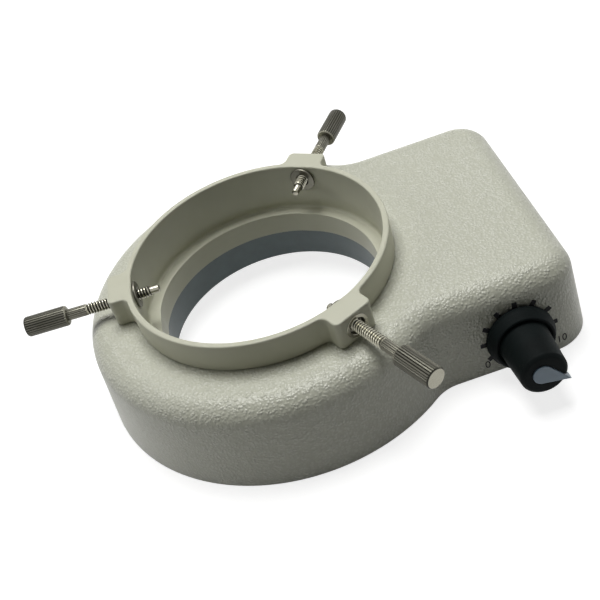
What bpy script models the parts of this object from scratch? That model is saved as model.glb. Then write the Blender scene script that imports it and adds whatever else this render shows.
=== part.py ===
"""LED ring light for a stereo microscope, as an assembly of its separate pieces.

Units are metres and +Z is up. The origin is on the ring's axis, in the plane of the
bottom rim that the light stands on. +X runs from the ring to the end of the control box,
and the dimmer knob is on the box's -Y wall.
"""
import math

import bmesh
import bpy
from mathutils import Matrix, Vector

# Clearances that all pieces share
SEAT_GAP = 0.0003
RUNNING_GAP = 0.00006
OVERRUN = 0.0010
MERGE_DISTANCE = 0.000003

# Housing: the ring, the control box and the walls of the casting
RING_WIDTH = 0.0169
BOX_HALF_WIDTH = 0.0374
BOX_REACH = 0.0230
BOX_CORNER_R = 0.0107
FLARE_R = 0.0100
BODY_HEIGHT = 0.0244
TOP_EDGE_R = 0.0060
DRAFT_DEG = 4.9
SIDE_WALL = 0.0025
TOP_WALL = 0.0028
PARTITION_WALL = 0.0020
NECK_WALL = 0.0025
RING_STEPS = 42
FLARE_STEPS = 4
CORNER_STEPS = 5
EDGE_STEPS = 4
CAVITY_STEPS = 52

# Collar: the objective's adapter, with its clamp bosses
COLLAR_BORE_R = 0.0330
COLLAR_WALL = 0.0016
COLLAR_RISE = 0.0080
COLLAR_TURN_DEG = -4.2
COLLAR_CHAMFER = 0.0004
BARREL_WALL = 0.0011
BARREL_DEPTH = 0.0122
LEDGE_WIDTH = 0.0033
LEDGE_DEPTH = 0.0139
CLAMP_COUNT = 3
BOSS_REACH = 0.0062
BOSS_WIDTH = 0.0108
BOSS_CORNER_R = 0.0014
BOSS_ROOT_R = 0.0020
ROOT_STEPS = 3
ARC_STEPS = 13

# Thread inserts in the bosses
INSERT_R = 0.0026
INSERT_RECESS = 0.0015
INSERT_RIM_R = 0.0035
INSERT_RIM_T = 0.0004
INSERT_STEPS = 16
NUT_STEPS = 24

# Thumbscrews
THREAD_R = 0.0015
THREAD_LENGTH = 0.0179
DOG_R = 0.0010
DOG_LENGTH = 0.0022
DOG_CHAMFER = 0.0003
SCREW_NECK_R = 0.00142
SCREW_NECK_LENGTH = 0.0047
HEAD_R = 0.00265
HEAD_LENGTH = 0.0112
HEAD_CHAMFER = 0.0004
FLUTE_DEPTH = 0.00025
FLUTE_COUNT = 15
TIP_REACH = 0.0065
TIP_BACK_OFF = 0.0025

# Inner sleeve: the dark tube below the collar, with its clamp flange
SLEEVE_WALL = 0.0005
SLEEVE_SET_BACK = 0.0004
SLEEVE_LIFT = 0.0036
SLEEVE_FLANGE_T = 0.0017
SLEEVE_STEPS = 44

# Screws that hold the sleeve to the collar
SLEEVE_SCREW_R = 0.0010
SLEEVE_SCREW_GRIP = 0.0055
SLEEVE_SCREW_HEAD_R = 0.0016
SLEEVE_SCREW_HEAD_T = 0.0012

# LED board and its lamps, in four fields
BOARD_T = 0.0016
BOARD_EDGE_GAP = 0.0005
FIELD_COUNT = 4
FIELD_TURN_DEG = 45.0
LAMPS_IN_ROW = (8, 9, 9, 10)
LAMP_R = 0.0015
LAMP_LENGTH = 0.0034
LAMP_DOME = 0.0016
LAMP_STEPS = 5
LAMP_EDGE = 0.0024
LAMP_INNER_EDGE = 0.0028

# Screws and cast posts that carry the boards
POST_R = 0.0024
POST_ROOT = 0.0005
BOARD_SCREW_R = 0.0013
BOARD_SCREW_GRIP = 0.0050
BOARD_SCREW_HEAD_R = 0.0024
BOARD_SCREW_HEAD_T = 0.0015
SCREW_STEPS = 10
POST_STEPS = 12

# Base cover of the control box
COVER_LIFT = 0.0004
COVER_T = 0.0015
COVER_POST_INSET = 0.0079
COVER_SCREW_R = 0.0014
COVER_SCREW_GRIP = 0.0065
COVER_SCREW_HEAD_R = 0.0028
COVER_SCREW_HEAD_T = 0.0012

# Driver board and its components
DRIVER_LIFT = 0.0042
DRIVER_T = 0.0016
DRIVER_END_GAP = 0.0065
DRIVER_PARTITION_GAP = 0.0018
DRIVER_SIDE_GAP = 0.0104
DRIVER_LOW_Y = -0.0190
DRIVER_SCREW_EDGE = 0.0029
CAPACITOR_R = 0.0032
CAPACITOR_HEIGHT = 0.0100
CAPACITOR_Y = -0.0012
INDUCTOR_R = 0.0039
INDUCTOR_HEIGHT = 0.0048
INDUCTOR_Y = -0.0086
CHIP_LENGTH = 0.0038
CHIP_WIDTH = 0.0049
CHIP_HEIGHT = 0.0016
CHIP_PLACE_SHARE = 0.42
CHIP_Y = -0.0155
TERMINAL_LENGTH = 0.0070
TERMINAL_WIDTH = 0.0055
TERMINAL_HEIGHT = 0.0060
TERMINAL_FROM_EDGE = 0.0043
TERMINAL_FROM_END = 0.0150

# Potentiometer, its nut and washer, and its shaft
DIAL_SHIFT = 0.0007
DIAL_Z = 0.0094
POT_R = 0.0055
POT_DEPTH = 0.0080
POT_BUSHING_R = 0.0036
POT_BUSHING_REACH = 0.0030
POT_SHAFT_R = 0.0030
POT_SHAFT_REACH = 0.0120
POT_BORE_DEPTH = 0.0040
WASHER_R = 0.0050
WASHER_T = 0.0004
POT_NUT_HALF_WIDTH = 0.0045
POT_NUT_T = 0.0016

# Knob and its pointer
KNOB_BACK_GAP = 0.0005
KNOB_LENGTH = 0.0154
KNOB_SKIRT_R = 0.0085
KNOB_SKIRT_RIM = 0.0016
KNOB_SKIRT_T = 0.0037
KNOB_SKIRT_TOP_R = 0.0075
KNOB_GROOVE_DEPTH = 0.0009
KNOB_BASE_R = 0.0063
KNOB_END_R = 0.0057
KNOB_END_BEVEL = 0.0007
KNOB_STEPS = 32
POINTER_R = 0.00245
POINTER_OFFSET = -0.0006
POINTER_TIP = 0.0068
POINTER_RISE = 0.0004
POINTER_SEAT = 0.0018
POINTER_ANGLE_DEG = -30.0
POINTER_STEPS = 12

# Power inlet on the box's end wall
JACK_FROM_SIDE = 0.0174
JACK_Z = 0.0110
JACK_RIM_R = 0.0048
JACK_RIM_T = 0.0006
JACK_BARREL_R = 0.0039
JACK_DEPTH = 0.0115
JACK_BORE_R = 0.00275
JACK_BACK_T = 0.0015
JACK_PIN_R = 0.00105
JACK_PIN_SETBACK = 0.0010
JACK_PIN_TAIL = 0.0015
JACK_NUT_HALF_WIDTH = 0.0048
JACK_NUT_T = 0.0020

# Internal leads and the slot that one of them passes
LEAD_R = 0.0007
LEAD_SPAN_POINTS = 3
LEAD_BEND = 0.0025
POT_PAD_EDGE = 0.0090
SLOT_WIDTH = 0.0060
SLOT_LOW_Z = 0.0130
SLOT_HEIGHT = 0.0040

# Heights and radii that follow from the sizes above
DRAFT = math.radians(DRAFT_DEG)
CEILING_Z = BODY_HEIGHT - TOP_WALL
RING_R = COLLAR_BORE_R + RING_WIDTH
BOX_END_X = RING_R + BOX_REACH
COLLAR_TOP_Z = BODY_HEIGHT + COLLAR_RISE
COLLAR_R = COLLAR_BORE_R + COLLAR_WALL
CLAMP_Z = BODY_HEIGHT + COLLAR_RISE / 2
BARREL_R = COLLAR_BORE_R + BARREL_WALL
BARREL_Z = BODY_HEIGHT - BARREL_DEPTH
THROAT_R = COLLAR_BORE_R - LEDGE_WIDTH
BOSS_FACE_R = COLLAR_BORE_R + BOSS_REACH
TIP_R = COLLAR_BORE_R - TIP_REACH
HOUSING_BORE_R = BARREL_R + SEAT_GAP
NECK_R = HOUSING_BORE_R + NECK_WALL
PARTITION_R = RING_R - SIDE_WALL + PARTITION_WALL
SLEEVE_BORE_R = THROAT_R + SLEEVE_SET_BACK
SLEEVE_R = SLEEVE_BORE_R + SLEEVE_WALL
FLANGE_TOP_Z = BARREL_Z - SEAT_GAP
FLANGE_Z = FLANGE_TOP_Z - SLEEVE_FLANGE_T
SLEEVE_SCREW_CIRCLE_R = SLEEVE_R + SEAT_GAP + SLEEVE_SCREW_HEAD_R
BOARD_TOP_Z = FLANGE_Z - SEAT_GAP - SLEEVE_SCREW_HEAD_T - SEAT_GAP
BOARD_Z = BOARD_TOP_Z - BOARD_T
BOARD_SCREW_CIRCLE_R = NECK_R + SEAT_GAP + POST_R
COVER_TOP_Z = COVER_LIFT + COVER_T
DRIVER_TOP_Z = DRIVER_LIFT + DRIVER_T
DRIVER_HIGH_X = BOX_END_X - DRIVER_END_GAP
DRIVER_LOW_X = PARTITION_R + DRIVER_PARTITION_GAP
DRIVER_MIDDLE_X = (DRIVER_LOW_X + DRIVER_HIGH_X) / 2
DRIVER_HIGH_Y = BOX_HALF_WIDTH - DRIVER_SIDE_GAP
TERMINAL_X = DRIVER_LOW_X + TERMINAL_FROM_EDGE
TERMINAL_Y = DRIVER_HIGH_Y - TERMINAL_FROM_END
COVER_SCREW_Y = BOX_HALF_WIDTH - COVER_POST_INSET
COVER_FAR_X = BOX_END_X - COVER_POST_INSET
COVER_NEAR_R = PARTITION_R + SEAT_GAP + COVER_SCREW_HEAD_R + SEAT_GAP
COVER_NEAR_X = math.sqrt(COVER_NEAR_R ** 2 - COVER_SCREW_Y ** 2)
DIAL_X = (COVER_NEAR_X + COVER_FAR_X) / 2 - DIAL_SHIFT
CHIP_X = DIAL_X + (DRIVER_HIGH_X - DRIVER_SCREW_EDGE - DIAL_X) * CHIP_PLACE_SHARE
JACK_Y = BOX_HALF_WIDTH - JACK_FROM_SIDE
WALL_NORMAL = SIDE_WALL * math.cos(DRAFT)


def srgb(red, green, blue):
    """Turn 8-bit display colour into linear colour."""
    return tuple((value / 255) ** 2.2 for value in (red, green, blue))


def make_material(name, colour, roughness, metallic):
    material = bpy.data.materials.new(name)
    material.use_nodes = True
    shader = material.node_tree.nodes["Principled BSDF"]
    shader.inputs["Base Color"].default_value = (*colour, 1)
    shader.inputs["Roughness"].default_value = roughness
    shader.inputs["Metallic"].default_value = metallic
    material.diffuse_color = (*colour, 1)
    return material


def make_axis(name, location, rotation):
    """An empty that its pieces are built along, on its local Z axis."""
    empty = bpy.data.objects.new(name, None)
    empty.matrix_world = Matrix.Translation(location) @ rotation
    bpy.context.scene.collection.objects.link(empty)
    return empty


def make_object(name, bm, material, axis=None):
    """Close a mesh, point its faces outwards and give it to a new object."""
    bmesh.ops.recalc_face_normals(bm, faces=bm.faces)
    mesh = bpy.data.meshes.new(name)
    bm.to_mesh(mesh)
    bm.free()
    mesh.shade_smooth()
    mesh.set_sharp_from_angle(angle=math.radians(35))
    piece = bpy.data.objects.new(name, mesh)
    if material is not None:
        mesh.materials.append(material)
    if axis is not None:
        piece.parent = axis
    bpy.context.scene.collection.objects.link(piece)
    return piece


def make_cutter(name, bm, axis=None):
    cutter = make_object(name, bm, None, axis)
    cutter.hide_render = True
    cutter.display_type = "WIRE"
    return cutter


def add_boolean(piece, operation, other):
    modifier = piece.modifiers.new(other.name, "BOOLEAN")
    modifier.operation = operation
    modifier.object = other
    modifier.solver = "EXACT"


def add_loft(bm, loops, closed=False):
    """Join loops of equal length with quads, and cap the ends unless it is closed."""
    rows = [[bm.verts.new(point) for point in loop] for loop in loops]
    count = len(rows[0])
    pairs = list(zip(rows, rows[1:]))
    if closed:
        pairs.append((rows[-1], rows[0]))
    else:
        bm.faces.new(rows[0])
        bm.faces.new(rows[-1])
    for low, high in pairs:
        for index in range(count):
            after = (index + 1) % count
            bm.faces.new((low[index], low[after], high[after], high[index]))


def add_turned(bm, profile, steps, centre=(0, 0, 0)):
    """Spin a profile of (radius, height) points about Z. A ring's profile closes itself."""
    points = [Vector((radius, 0, height)) + Vector(centre) for radius, height in profile]
    verts = [bm.verts.new(point) for point in points]
    edges = [bm.edges.new(pair) for pair in zip(verts, verts[1:])]
    on_axis = profile[0][0] == 0 and profile[-1][0] == 0
    if not on_axis:
        edges.append(bm.edges.new((verts[-1], verts[0])))
    spun = bmesh.ops.spin(
        bm, geom=verts + edges, cent=centre, axis=(0, 0, 1),
        angle=math.tau, steps=steps, use_merge=True)
    ends = [item for item in spun["geom_last"] if isinstance(item, bmesh.types.BMVert)]
    bmesh.ops.remove_doubles(bm, verts=list(set(bm.verts) | set(ends)), dist=MERGE_DISTANCE)


def turned(profile, steps):
    bm = bmesh.new()
    add_turned(bm, profile, steps)
    return bm


def outer_r(radius, steps):
    """The corner radius of a polygon whose flats lie at the radius."""
    return radius / math.cos(math.pi / steps)


def arc(centre, radius, start, end, steps):
    """Points along an arc, without its last one."""
    points = []
    for index in range(steps):
        angle = start + (end - start) * index / steps
        points.append((centre[0] + radius * math.cos(angle),
                       centre[1] + radius * math.sin(angle)))
    return points


def at_height(points, z):
    return [Vector((x, y, z)) for x, y in points]


def polar(radius, angle, z=0.0):
    return Vector((radius * math.cos(angle), radius * math.sin(angle), z))


def add_block(bm, low, high):
    corners = [(low[0], low[1]), (high[0], low[1]), (high[0], high[1]), (low[0], high[1])]
    add_loft(bm, [at_height(corners, low[2]), at_height(corners, high[2])])


def hexagon(half_width, hole_r, low_z, high_z, steps):
    """A hexagon nut: the flats are half_width from the axis, and the hole is round."""
    bm = bmesh.new()
    flat = math.tau / 6
    outline = []
    for index in range(steps):
        angle = math.tau * index / steps
        reach = half_width / math.cos((angle % flat) - flat / 2)
        outline.append((reach * math.cos(angle), reach * math.sin(angle)))
    hole = arc((0, 0), outer_r(hole_r, steps), 0, math.tau, steps)
    add_loft(bm, [at_height(outline, low_z), at_height(outline, high_z),
                  at_height(hole, high_z), at_height(hole, low_z)], closed=True)
    return bm


# Outlines of the housing, seen from above

def body_outline(inset):
    """The casting's outline, moved inwards: the ring, two flares and the box."""
    ring = RING_R - inset
    half = BOX_HALF_WIDTH - inset
    corner = BOX_CORNER_R - inset
    corner_x = BOX_END_X - BOX_CORNER_R
    corner_y = BOX_HALF_WIDTH - BOX_CORNER_R
    flare = FLARE_R + inset
    flare_y = half + flare
    flare_x = math.sqrt((ring + flare) ** 2 - flare_y ** 2)
    meet = math.atan2(flare_y, flare_x)
    points = arc((0, 0), ring, meet, math.tau - meet, RING_STEPS)
    points += arc((flare_x, -flare_y), flare, math.pi - meet, math.pi / 2, FLARE_STEPS)
    points.append((flare_x, -half))
    points += arc((corner_x, -corner_y), corner, -math.pi / 2, 0, CORNER_STEPS)
    points.append((corner_x + corner, -corner_y))
    points += arc((corner_x, corner_y), corner, 0, math.pi / 2, CORNER_STEPS)
    points.append((corner_x, half))
    points += arc((flare_x, flare_y), flare, -math.pi / 2, meet - math.pi, FLARE_STEPS)
    return points


def box_outline(inset, gap=0.0):
    """The outline of the box's inside, between its walls and the ring's partition."""
    inner_r = PARTITION_R + gap
    half = BOX_HALF_WIDTH - inset
    corner = BOX_CORNER_R - inset
    corner_x = BOX_END_X - BOX_CORNER_R
    corner_y = BOX_HALF_WIDTH - BOX_CORNER_R
    meet = math.asin(half / inner_r)
    points = arc((0, 0), inner_r, meet, -meet, RING_STEPS // 3)
    points.append((inner_r * math.cos(meet), -half))
    points += arc((corner_x, -corner_y), corner, -math.pi / 2, 0, CORNER_STEPS)
    points.append((corner_x + corner, -corner_y))
    points += arc((corner_x, corner_y), corner, 0, math.pi / 2, CORNER_STEPS)
    points.append((corner_x, half))
    return points


def side_profile(thickness, height, edge_r, low_z):
    """The drafted side and its rounded top edge, as (inset, height) points."""
    centre_z = height - edge_r
    centre_inset = thickness + centre_z * math.tan(DRAFT) + edge_r / math.cos(DRAFT)
    points = [(thickness + low_z * math.tan(DRAFT), low_z)]
    for index in range(EDGE_STEPS + 1):
        angle = DRAFT + (math.pi / 2 - DRAFT) * index / EDGE_STEPS
        points.append((centre_inset - edge_r * math.cos(angle),
                       centre_z + edge_r * math.sin(angle)))
    return points


def wall_point(z):
    """How far the drafted outer wall has moved in at a height."""
    return z * math.tan(DRAFT)


# Places that the housing shares with what is fastened to it

def ring_angles(count, start_deg):
    return [math.radians(start_deg) + math.tau * index / count for index in range(count)]


def clamp_angles():
    return ring_angles(CLAMP_COUNT, 180 + COLLAR_TURN_DEG)


def sleeve_screw_places():
    between = 180 + COLLAR_TURN_DEG + 180 / CLAMP_COUNT
    return [polar(SLEEVE_SCREW_CIRCLE_R, angle) for angle in ring_angles(CLAMP_COUNT, between)]


def board_screw_places():
    return [polar(BOARD_SCREW_CIRCLE_R, angle)
            for angle in ring_angles(FIELD_COUNT, FIELD_TURN_DEG)]


def cover_screw_places():
    return [Vector((x, side * COVER_SCREW_Y, 0))
            for x in (COVER_NEAR_X, COVER_FAR_X) for side in (-1, 1)]


def driver_screw_places():
    return [Vector((DRIVER_HIGH_X - DRIVER_SCREW_EDGE, DRIVER_LOW_Y + DRIVER_SCREW_EDGE, 0)),
            Vector((DRIVER_LOW_X + DRIVER_SCREW_EDGE, DRIVER_HIGH_Y - DRIVER_SCREW_EDGE, 0))]


def add_rod(bm, place, radius, low_z, high_z, steps):
    add_turned(bm, [(0, low_z), (radius, low_z), (radius, high_z), (0, high_z)], steps, place)


def make_screws(name, profile, places, material):
    """One object for each place, all with one mesh."""
    mesh = None
    for number, place in enumerate(places, 1):
        if mesh is None:
            screw = make_object(f"{name}_{number}", turned(profile, SCREW_STEPS), material)
            mesh = screw.data
        else:
            screw = bpy.data.objects.new(f"{name}_{number}", mesh)
            bpy.context.scene.collection.objects.link(screw)
        screw.location = place


# Housing

def housing_blank():
    bm = bmesh.new()
    sides = side_profile(0, BODY_HEIGHT, TOP_EDGE_R, 0)
    add_loft(bm, [at_height(body_outline(inset), z) for inset, z in sides])
    return bm


def ring_cavity():
    """The round hollow for the lamps, with the neck left standing round the bore."""
    edge = max(TOP_EDGE_R - SIDE_WALL, SIDE_WALL / 2)
    outer = side_profile(SIDE_WALL, CEILING_Z, edge, -OVERRUN)
    profile = [(0, -OVERRUN)]
    profile += [(RING_R - inset, z) for inset, z in outer]
    profile += [(NECK_R, CEILING_Z), (NECK_R, BARREL_Z), (HOUSING_BORE_R, BARREL_Z)]
    profile += [(HOUSING_BORE_R, BODY_HEIGHT + OVERRUN), (0, BODY_HEIGHT + OVERRUN)]
    return turned(profile, CAVITY_STEPS)


def box_cavity():
    bm = bmesh.new()
    edge = max(TOP_EDGE_R - SIDE_WALL, SIDE_WALL / 2)
    sides = side_profile(SIDE_WALL, CEILING_Z, edge, -OVERRUN)
    add_loft(bm, [at_height(box_outline(inset), z) for inset, z in sides])
    return bm


def housing_posts():
    bm = bmesh.new()
    root_z = CEILING_Z + POST_ROOT
    for place in board_screw_places():
        add_rod(bm, place, POST_R, BOARD_TOP_Z + SEAT_GAP, root_z, POST_STEPS)
    for place in cover_screw_places():
        add_rod(bm, place, POST_R, COVER_TOP_Z + SEAT_GAP, root_z, POST_STEPS)
    for place in driver_screw_places():
        add_rod(bm, place, POST_R, DRIVER_TOP_Z + SEAT_GAP, root_z, POST_STEPS)
    return bm


def housing_holes():
    """Blind holes in the posts, and the slot for the lamps' lead."""
    bm = bmesh.new()
    board_r = BOARD_SCREW_R + SEAT_GAP
    cover_r = COVER_SCREW_R + SEAT_GAP
    for place in board_screw_places():
        add_rod(bm, place, board_r, BOARD_TOP_Z, BOARD_TOP_Z + BOARD_SCREW_GRIP + OVERRUN,
                SCREW_STEPS)
    for place in cover_screw_places():
        add_rod(bm, place, cover_r, COVER_TOP_Z, COVER_TOP_Z + COVER_SCREW_GRIP + OVERRUN,
                SCREW_STEPS)
    for place in driver_screw_places():
        add_rod(bm, place, board_r, DRIVER_TOP_Z, DRIVER_TOP_Z + BOARD_SCREW_GRIP + OVERRUN,
                SCREW_STEPS)
    slot_y = TERMINAL_Y - TERMINAL_LENGTH / 4
    slot_x = NECK_R + (PARTITION_R - PARTITION_WALL - NECK_R) / 2
    add_block(bm, (slot_x, slot_y - SLOT_WIDTH / 2, SLOT_LOW_Z),
              (PARTITION_R + OVERRUN, slot_y + SLOT_WIDTH / 2, SLOT_LOW_Z + SLOT_HEIGHT))
    return bm


def build_housing(paint, dial_axis, jack_axis):
    housing = make_object("housing", housing_blank(), paint)
    pot_r = outer_r(POT_BUSHING_R + SEAT_GAP, INSERT_STEPS)
    jack_r = outer_r(JACK_BARREL_R + SEAT_GAP, INSERT_STEPS)
    add_boolean(housing, "DIFFERENCE", make_cutter("cut_ring_cavity", ring_cavity()))
    add_boolean(housing, "DIFFERENCE", make_cutter("cut_box_cavity", box_cavity()))
    add_boolean(housing, "UNION", make_cutter("add_posts", housing_posts()))
    add_boolean(housing, "DIFFERENCE", make_cutter("cut_posts_and_slot", housing_holes()))
    for name, radius, axis in (("cut_dial_hole", pot_r, dial_axis),
                               ("cut_jack_hole", jack_r, jack_axis)):
        bm = bmesh.new()
        add_rod(bm, (0, 0, 0), radius, -SIDE_WALL - OVERRUN, OVERRUN, INSERT_STEPS)
        add_boolean(housing, "DIFFERENCE", make_cutter(name, bm, axis))


# Collar

def boss_outline(radius, grow):
    """A round outline with a boss for each clamp screw, its corners rounded, its roots
    filleted. Grow moves the outline outwards."""
    round_r = radius + grow
    half = BOSS_WIDTH / 2 + grow
    face = BOSS_FACE_R + grow
    corner = BOSS_CORNER_R + grow
    root = BOSS_ROOT_R - grow
    root_y = half + root
    root_x = math.sqrt((round_r + root) ** 2 - root_y ** 2)
    root_angle = math.atan2(root_y, root_x)
    corner_x = face - corner
    corner_y = half - corner
    side = []
    side += arc((root_x, -root_y), root, math.pi - root_angle, math.pi / 2, ROOT_STEPS)
    side.append((root_x, -half))
    side += arc((corner_x, -corner_y), corner, -math.pi / 2, 0, ROOT_STEPS)
    side.append((face, -corner_y))
    boss = side + [(x, -y) for x, y in reversed(side)]
    points = []
    pitch = math.tau / CLAMP_COUNT
    for angle in clamp_angles():
        turn = Matrix.Rotation(angle, 2)
        points += [tuple(turn @ Vector(point)) for point in boss]
        between = arc((0, 0), round_r, angle + root_angle, angle + pitch - root_angle, ARC_STEPS)
        points += between[1:]
    return points


def to_radius(points, radius):
    """The same polar angles, all at one radius."""
    return [tuple(Vector(point).normalized() * radius) for point in points]


def build_collar(paint):
    full = boss_outline(COLLAR_R, 0)
    eased = boss_outline(COLLAR_R, -COLLAR_CHAMFER)
    shoulder_z = BODY_HEIGHT + SEAT_GAP
    chamfer_z = COLLAR_TOP_Z - COLLAR_CHAMFER
    loops = [
        at_height(to_radius(full, BARREL_R), BARREL_Z),
        at_height(to_radius(full, BARREL_R), shoulder_z),
        at_height(full, shoulder_z),
        at_height(full, chamfer_z),
        at_height(eased, COLLAR_TOP_Z),
        at_height(to_radius(full, COLLAR_BORE_R + COLLAR_CHAMFER), COLLAR_TOP_Z),
        at_height(to_radius(full, COLLAR_BORE_R), chamfer_z),
        at_height(to_radius(full, COLLAR_BORE_R), COLLAR_TOP_Z - LEDGE_DEPTH),
        at_height(to_radius(full, THROAT_R), COLLAR_TOP_Z - LEDGE_DEPTH),
        at_height(to_radius(full, THROAT_R), BARREL_Z),
    ]
    bm = bmesh.new()
    add_loft(bm, loops, closed=True)
    collar = make_object("collar", bm, paint)
    holes = bmesh.new()
    hole_r = SLEEVE_SCREW_R + SEAT_GAP
    for place in sleeve_screw_places():
        add_rod(holes, place, hole_r, BARREL_Z - OVERRUN,
                BARREL_Z + SLEEVE_SCREW_GRIP + SEAT_GAP, SCREW_STEPS)
    add_boolean(collar, "DIFFERENCE", make_cutter("cut_sleeve_screws", holes))
    return collar


# Clamp screws and their inserts, each built along its own radial axis

def insert_profile():
    inner = outer_r(THREAD_R + RUNNING_GAP, INSERT_STEPS)
    rim_back = math.sqrt(COLLAR_BORE_R ** 2 - INSERT_RIM_R ** 2) - SEAT_GAP
    rim_front = rim_back - INSERT_RIM_T
    end = BOSS_FACE_R - INSERT_RECESS
    return [(inner, rim_front), (INSERT_RIM_R, rim_front), (INSERT_RIM_R, rim_back),
            (INSERT_R, rim_back), (INSERT_R, end), (inner, end)]


def flute_ring(radius, z, depth=0.0):
    """A loop with a groove at every other point."""
    count = 2 * FLUTE_COUNT
    return [polar(radius - depth * (index % 2), math.tau * index / count, z)
            for index in range(count)]


def thumbscrew_mesh():
    thread_z = DOG_LENGTH
    neck_z = thread_z + THREAD_LENGTH
    head_z = neck_z + SCREW_NECK_LENGTH
    end_z = head_z + HEAD_LENGTH
    lead = THREAD_R - DOG_R
    step = THREAD_R - SCREW_NECK_R
    bm = bmesh.new()
    add_loft(bm, [
        flute_ring(DOG_R - DOG_CHAMFER, 0),
        flute_ring(DOG_R, DOG_CHAMFER),
        flute_ring(DOG_R, thread_z),
        flute_ring(THREAD_R, thread_z + lead),
        flute_ring(THREAD_R, neck_z - step),
        flute_ring(SCREW_NECK_R, neck_z),
        flute_ring(SCREW_NECK_R, head_z),
        flute_ring(HEAD_R - HEAD_CHAMFER, head_z),
        flute_ring(HEAD_R, head_z + HEAD_CHAMFER, FLUTE_DEPTH),
        flute_ring(HEAD_R, end_z - HEAD_CHAMFER, FLUTE_DEPTH),
        flute_ring(HEAD_R - HEAD_CHAMFER, end_z),
    ])
    return bm


def build_clamps(collar, steel):
    tips = (TIP_R, TIP_R + TIP_BACK_OFF, TIP_R)
    for letter, angle, tip in zip("abc", clamp_angles(), tips):
        rotation = Matrix.Rotation(angle, 4, "Z") @ Matrix.Rotation(math.pi / 2, 4, "Y")
        axis = make_axis("clamp_axis_" + letter, (0, 0, CLAMP_Z), rotation)
        bm = bmesh.new()
        add_rod(bm, (0, 0, 0), INSERT_R + SEAT_GAP, COLLAR_BORE_R - INSERT_RIM_R,
                BOSS_FACE_R + OVERRUN, INSERT_STEPS)
        add_boolean(collar, "DIFFERENCE", make_cutter("cut_insert_" + letter, bm, axis))
        make_object("thread_insert_" + letter, turned(insert_profile(), INSERT_STEPS),
                    steel, axis)
        screw = make_object("thumbscrew_" + letter, thumbscrew_mesh(), steel, axis)
        screw.location = (0, 0, tip)


# Inner sleeve

def build_sleeve(dark_paint, steel):
    profile = [(SLEEVE_BORE_R, SLEEVE_LIFT), (SLEEVE_R, SLEEVE_LIFT), (SLEEVE_R, FLANGE_Z),
               (NECK_R, FLANGE_Z), (NECK_R, FLANGE_TOP_Z), (SLEEVE_BORE_R, FLANGE_TOP_Z)]
    sleeve = make_object("inner_sleeve", turned(profile, SLEEVE_STEPS), dark_paint)
    holes = bmesh.new()
    head_top_z = FLANGE_Z - SEAT_GAP
    head_z = head_top_z - SLEEVE_SCREW_HEAD_T
    tip_z = BARREL_Z + SLEEVE_SCREW_GRIP
    screw = [(0, head_z), (SLEEVE_SCREW_HEAD_R, head_z), (SLEEVE_SCREW_HEAD_R, head_top_z),
             (SLEEVE_SCREW_R, head_top_z), (SLEEVE_SCREW_R, tip_z), (0, tip_z)]
    for place in sleeve_screw_places():
        add_rod(holes, place, SLEEVE_SCREW_R + SEAT_GAP, FLANGE_Z - OVERRUN,
                FLANGE_TOP_Z + OVERRUN, SCREW_STEPS)
    add_boolean(sleeve, "DIFFERENCE", make_cutter("cut_sleeve_holes", holes))
    make_screws("sleeve_screw", screw, sleeve_screw_places(), steel)


# LED board, its screws and its four fields of lamps

def board_inner_r():
    return SLEEVE_R + BOARD_EDGE_GAP


def board_outer_r():
    return RING_R - SIDE_WALL - wall_point(BOARD_TOP_Z) - BOARD_EDGE_GAP


def pan_screw(seat_z, grip):
    """The profile of a pan-head screw whose head hangs below the seat."""
    head_top_z = seat_z - SEAT_GAP
    head_z = head_top_z - BOARD_SCREW_HEAD_T
    tip_z = seat_z + grip
    return [(0, head_z), (BOARD_SCREW_HEAD_R, head_z), (BOARD_SCREW_HEAD_R, head_top_z),
            (BOARD_SCREW_R, head_top_z), (BOARD_SCREW_R, tip_z), (0, tip_z)]


def build_led_board(laminate, steel):
    """The board, with its lamps soldered on: they are one solid with it."""
    inner, outer = board_inner_r(), board_outer_r()
    profile = [(inner, BOARD_Z), (outer, BOARD_Z), (outer, BOARD_TOP_Z), (inner, BOARD_TOP_Z)]
    board = make_object("led_board", turned(profile, SLEEVE_STEPS), laminate)
    holes = bmesh.new()
    for place in board_screw_places():
        add_rod(holes, place, BOARD_SCREW_R + SEAT_GAP, BOARD_Z - OVERRUN,
                BOARD_TOP_Z + OVERRUN, SCREW_STEPS)
    add_boolean(board, "DIFFERENCE", make_cutter("cut_led_board_holes", holes))
    add_boolean(board, "UNION", make_cutter("add_lamps", lamps()))
    screw = pan_screw(BOARD_Z, BOARD_T + BOARD_SCREW_GRIP)
    make_screws("led_board_screw", screw, board_screw_places(), steel)


def lamp_places(field):
    """Where the lamps of one field stand: rows that stop short of its two screws."""
    first_r = board_inner_r() + LAMP_INNER_EDGE
    last_r = board_outer_r() - LAMP_EDGE
    room = BOARD_SCREW_HEAD_R + LAMP_R + SEAT_GAP
    middle = ring_angles(FIELD_COUNT, FIELD_TURN_DEG)[field] + math.pi / FIELD_COUNT
    places = []
    for row, count in enumerate(LAMPS_IN_ROW):
        row_r = first_r + (last_r - first_r) * row / (len(LAMPS_IN_ROW) - 1)
        half = math.pi / FIELD_COUNT - math.asin(room / row_r)
        for index in range(count):
            angle = middle - half + 2 * half * index / (count - 1)
            places.append(polar(row_r, angle))
    return places


def lamps():
    """Domed lamps that point down, with their roots in the board."""
    bm = bmesh.new()
    low_z = BOARD_Z - LAMP_LENGTH
    root_z = BOARD_Z + BOARD_T / 4
    for field in range(FIELD_COUNT):
        for place in lamp_places(field):
            add_turned(bm, [(0, low_z - LAMP_DOME), (LAMP_R, low_z), (LAMP_R, root_z),
                            (0, root_z)], LAMP_STEPS, place)
    return bm


# Base cover of the control box

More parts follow.
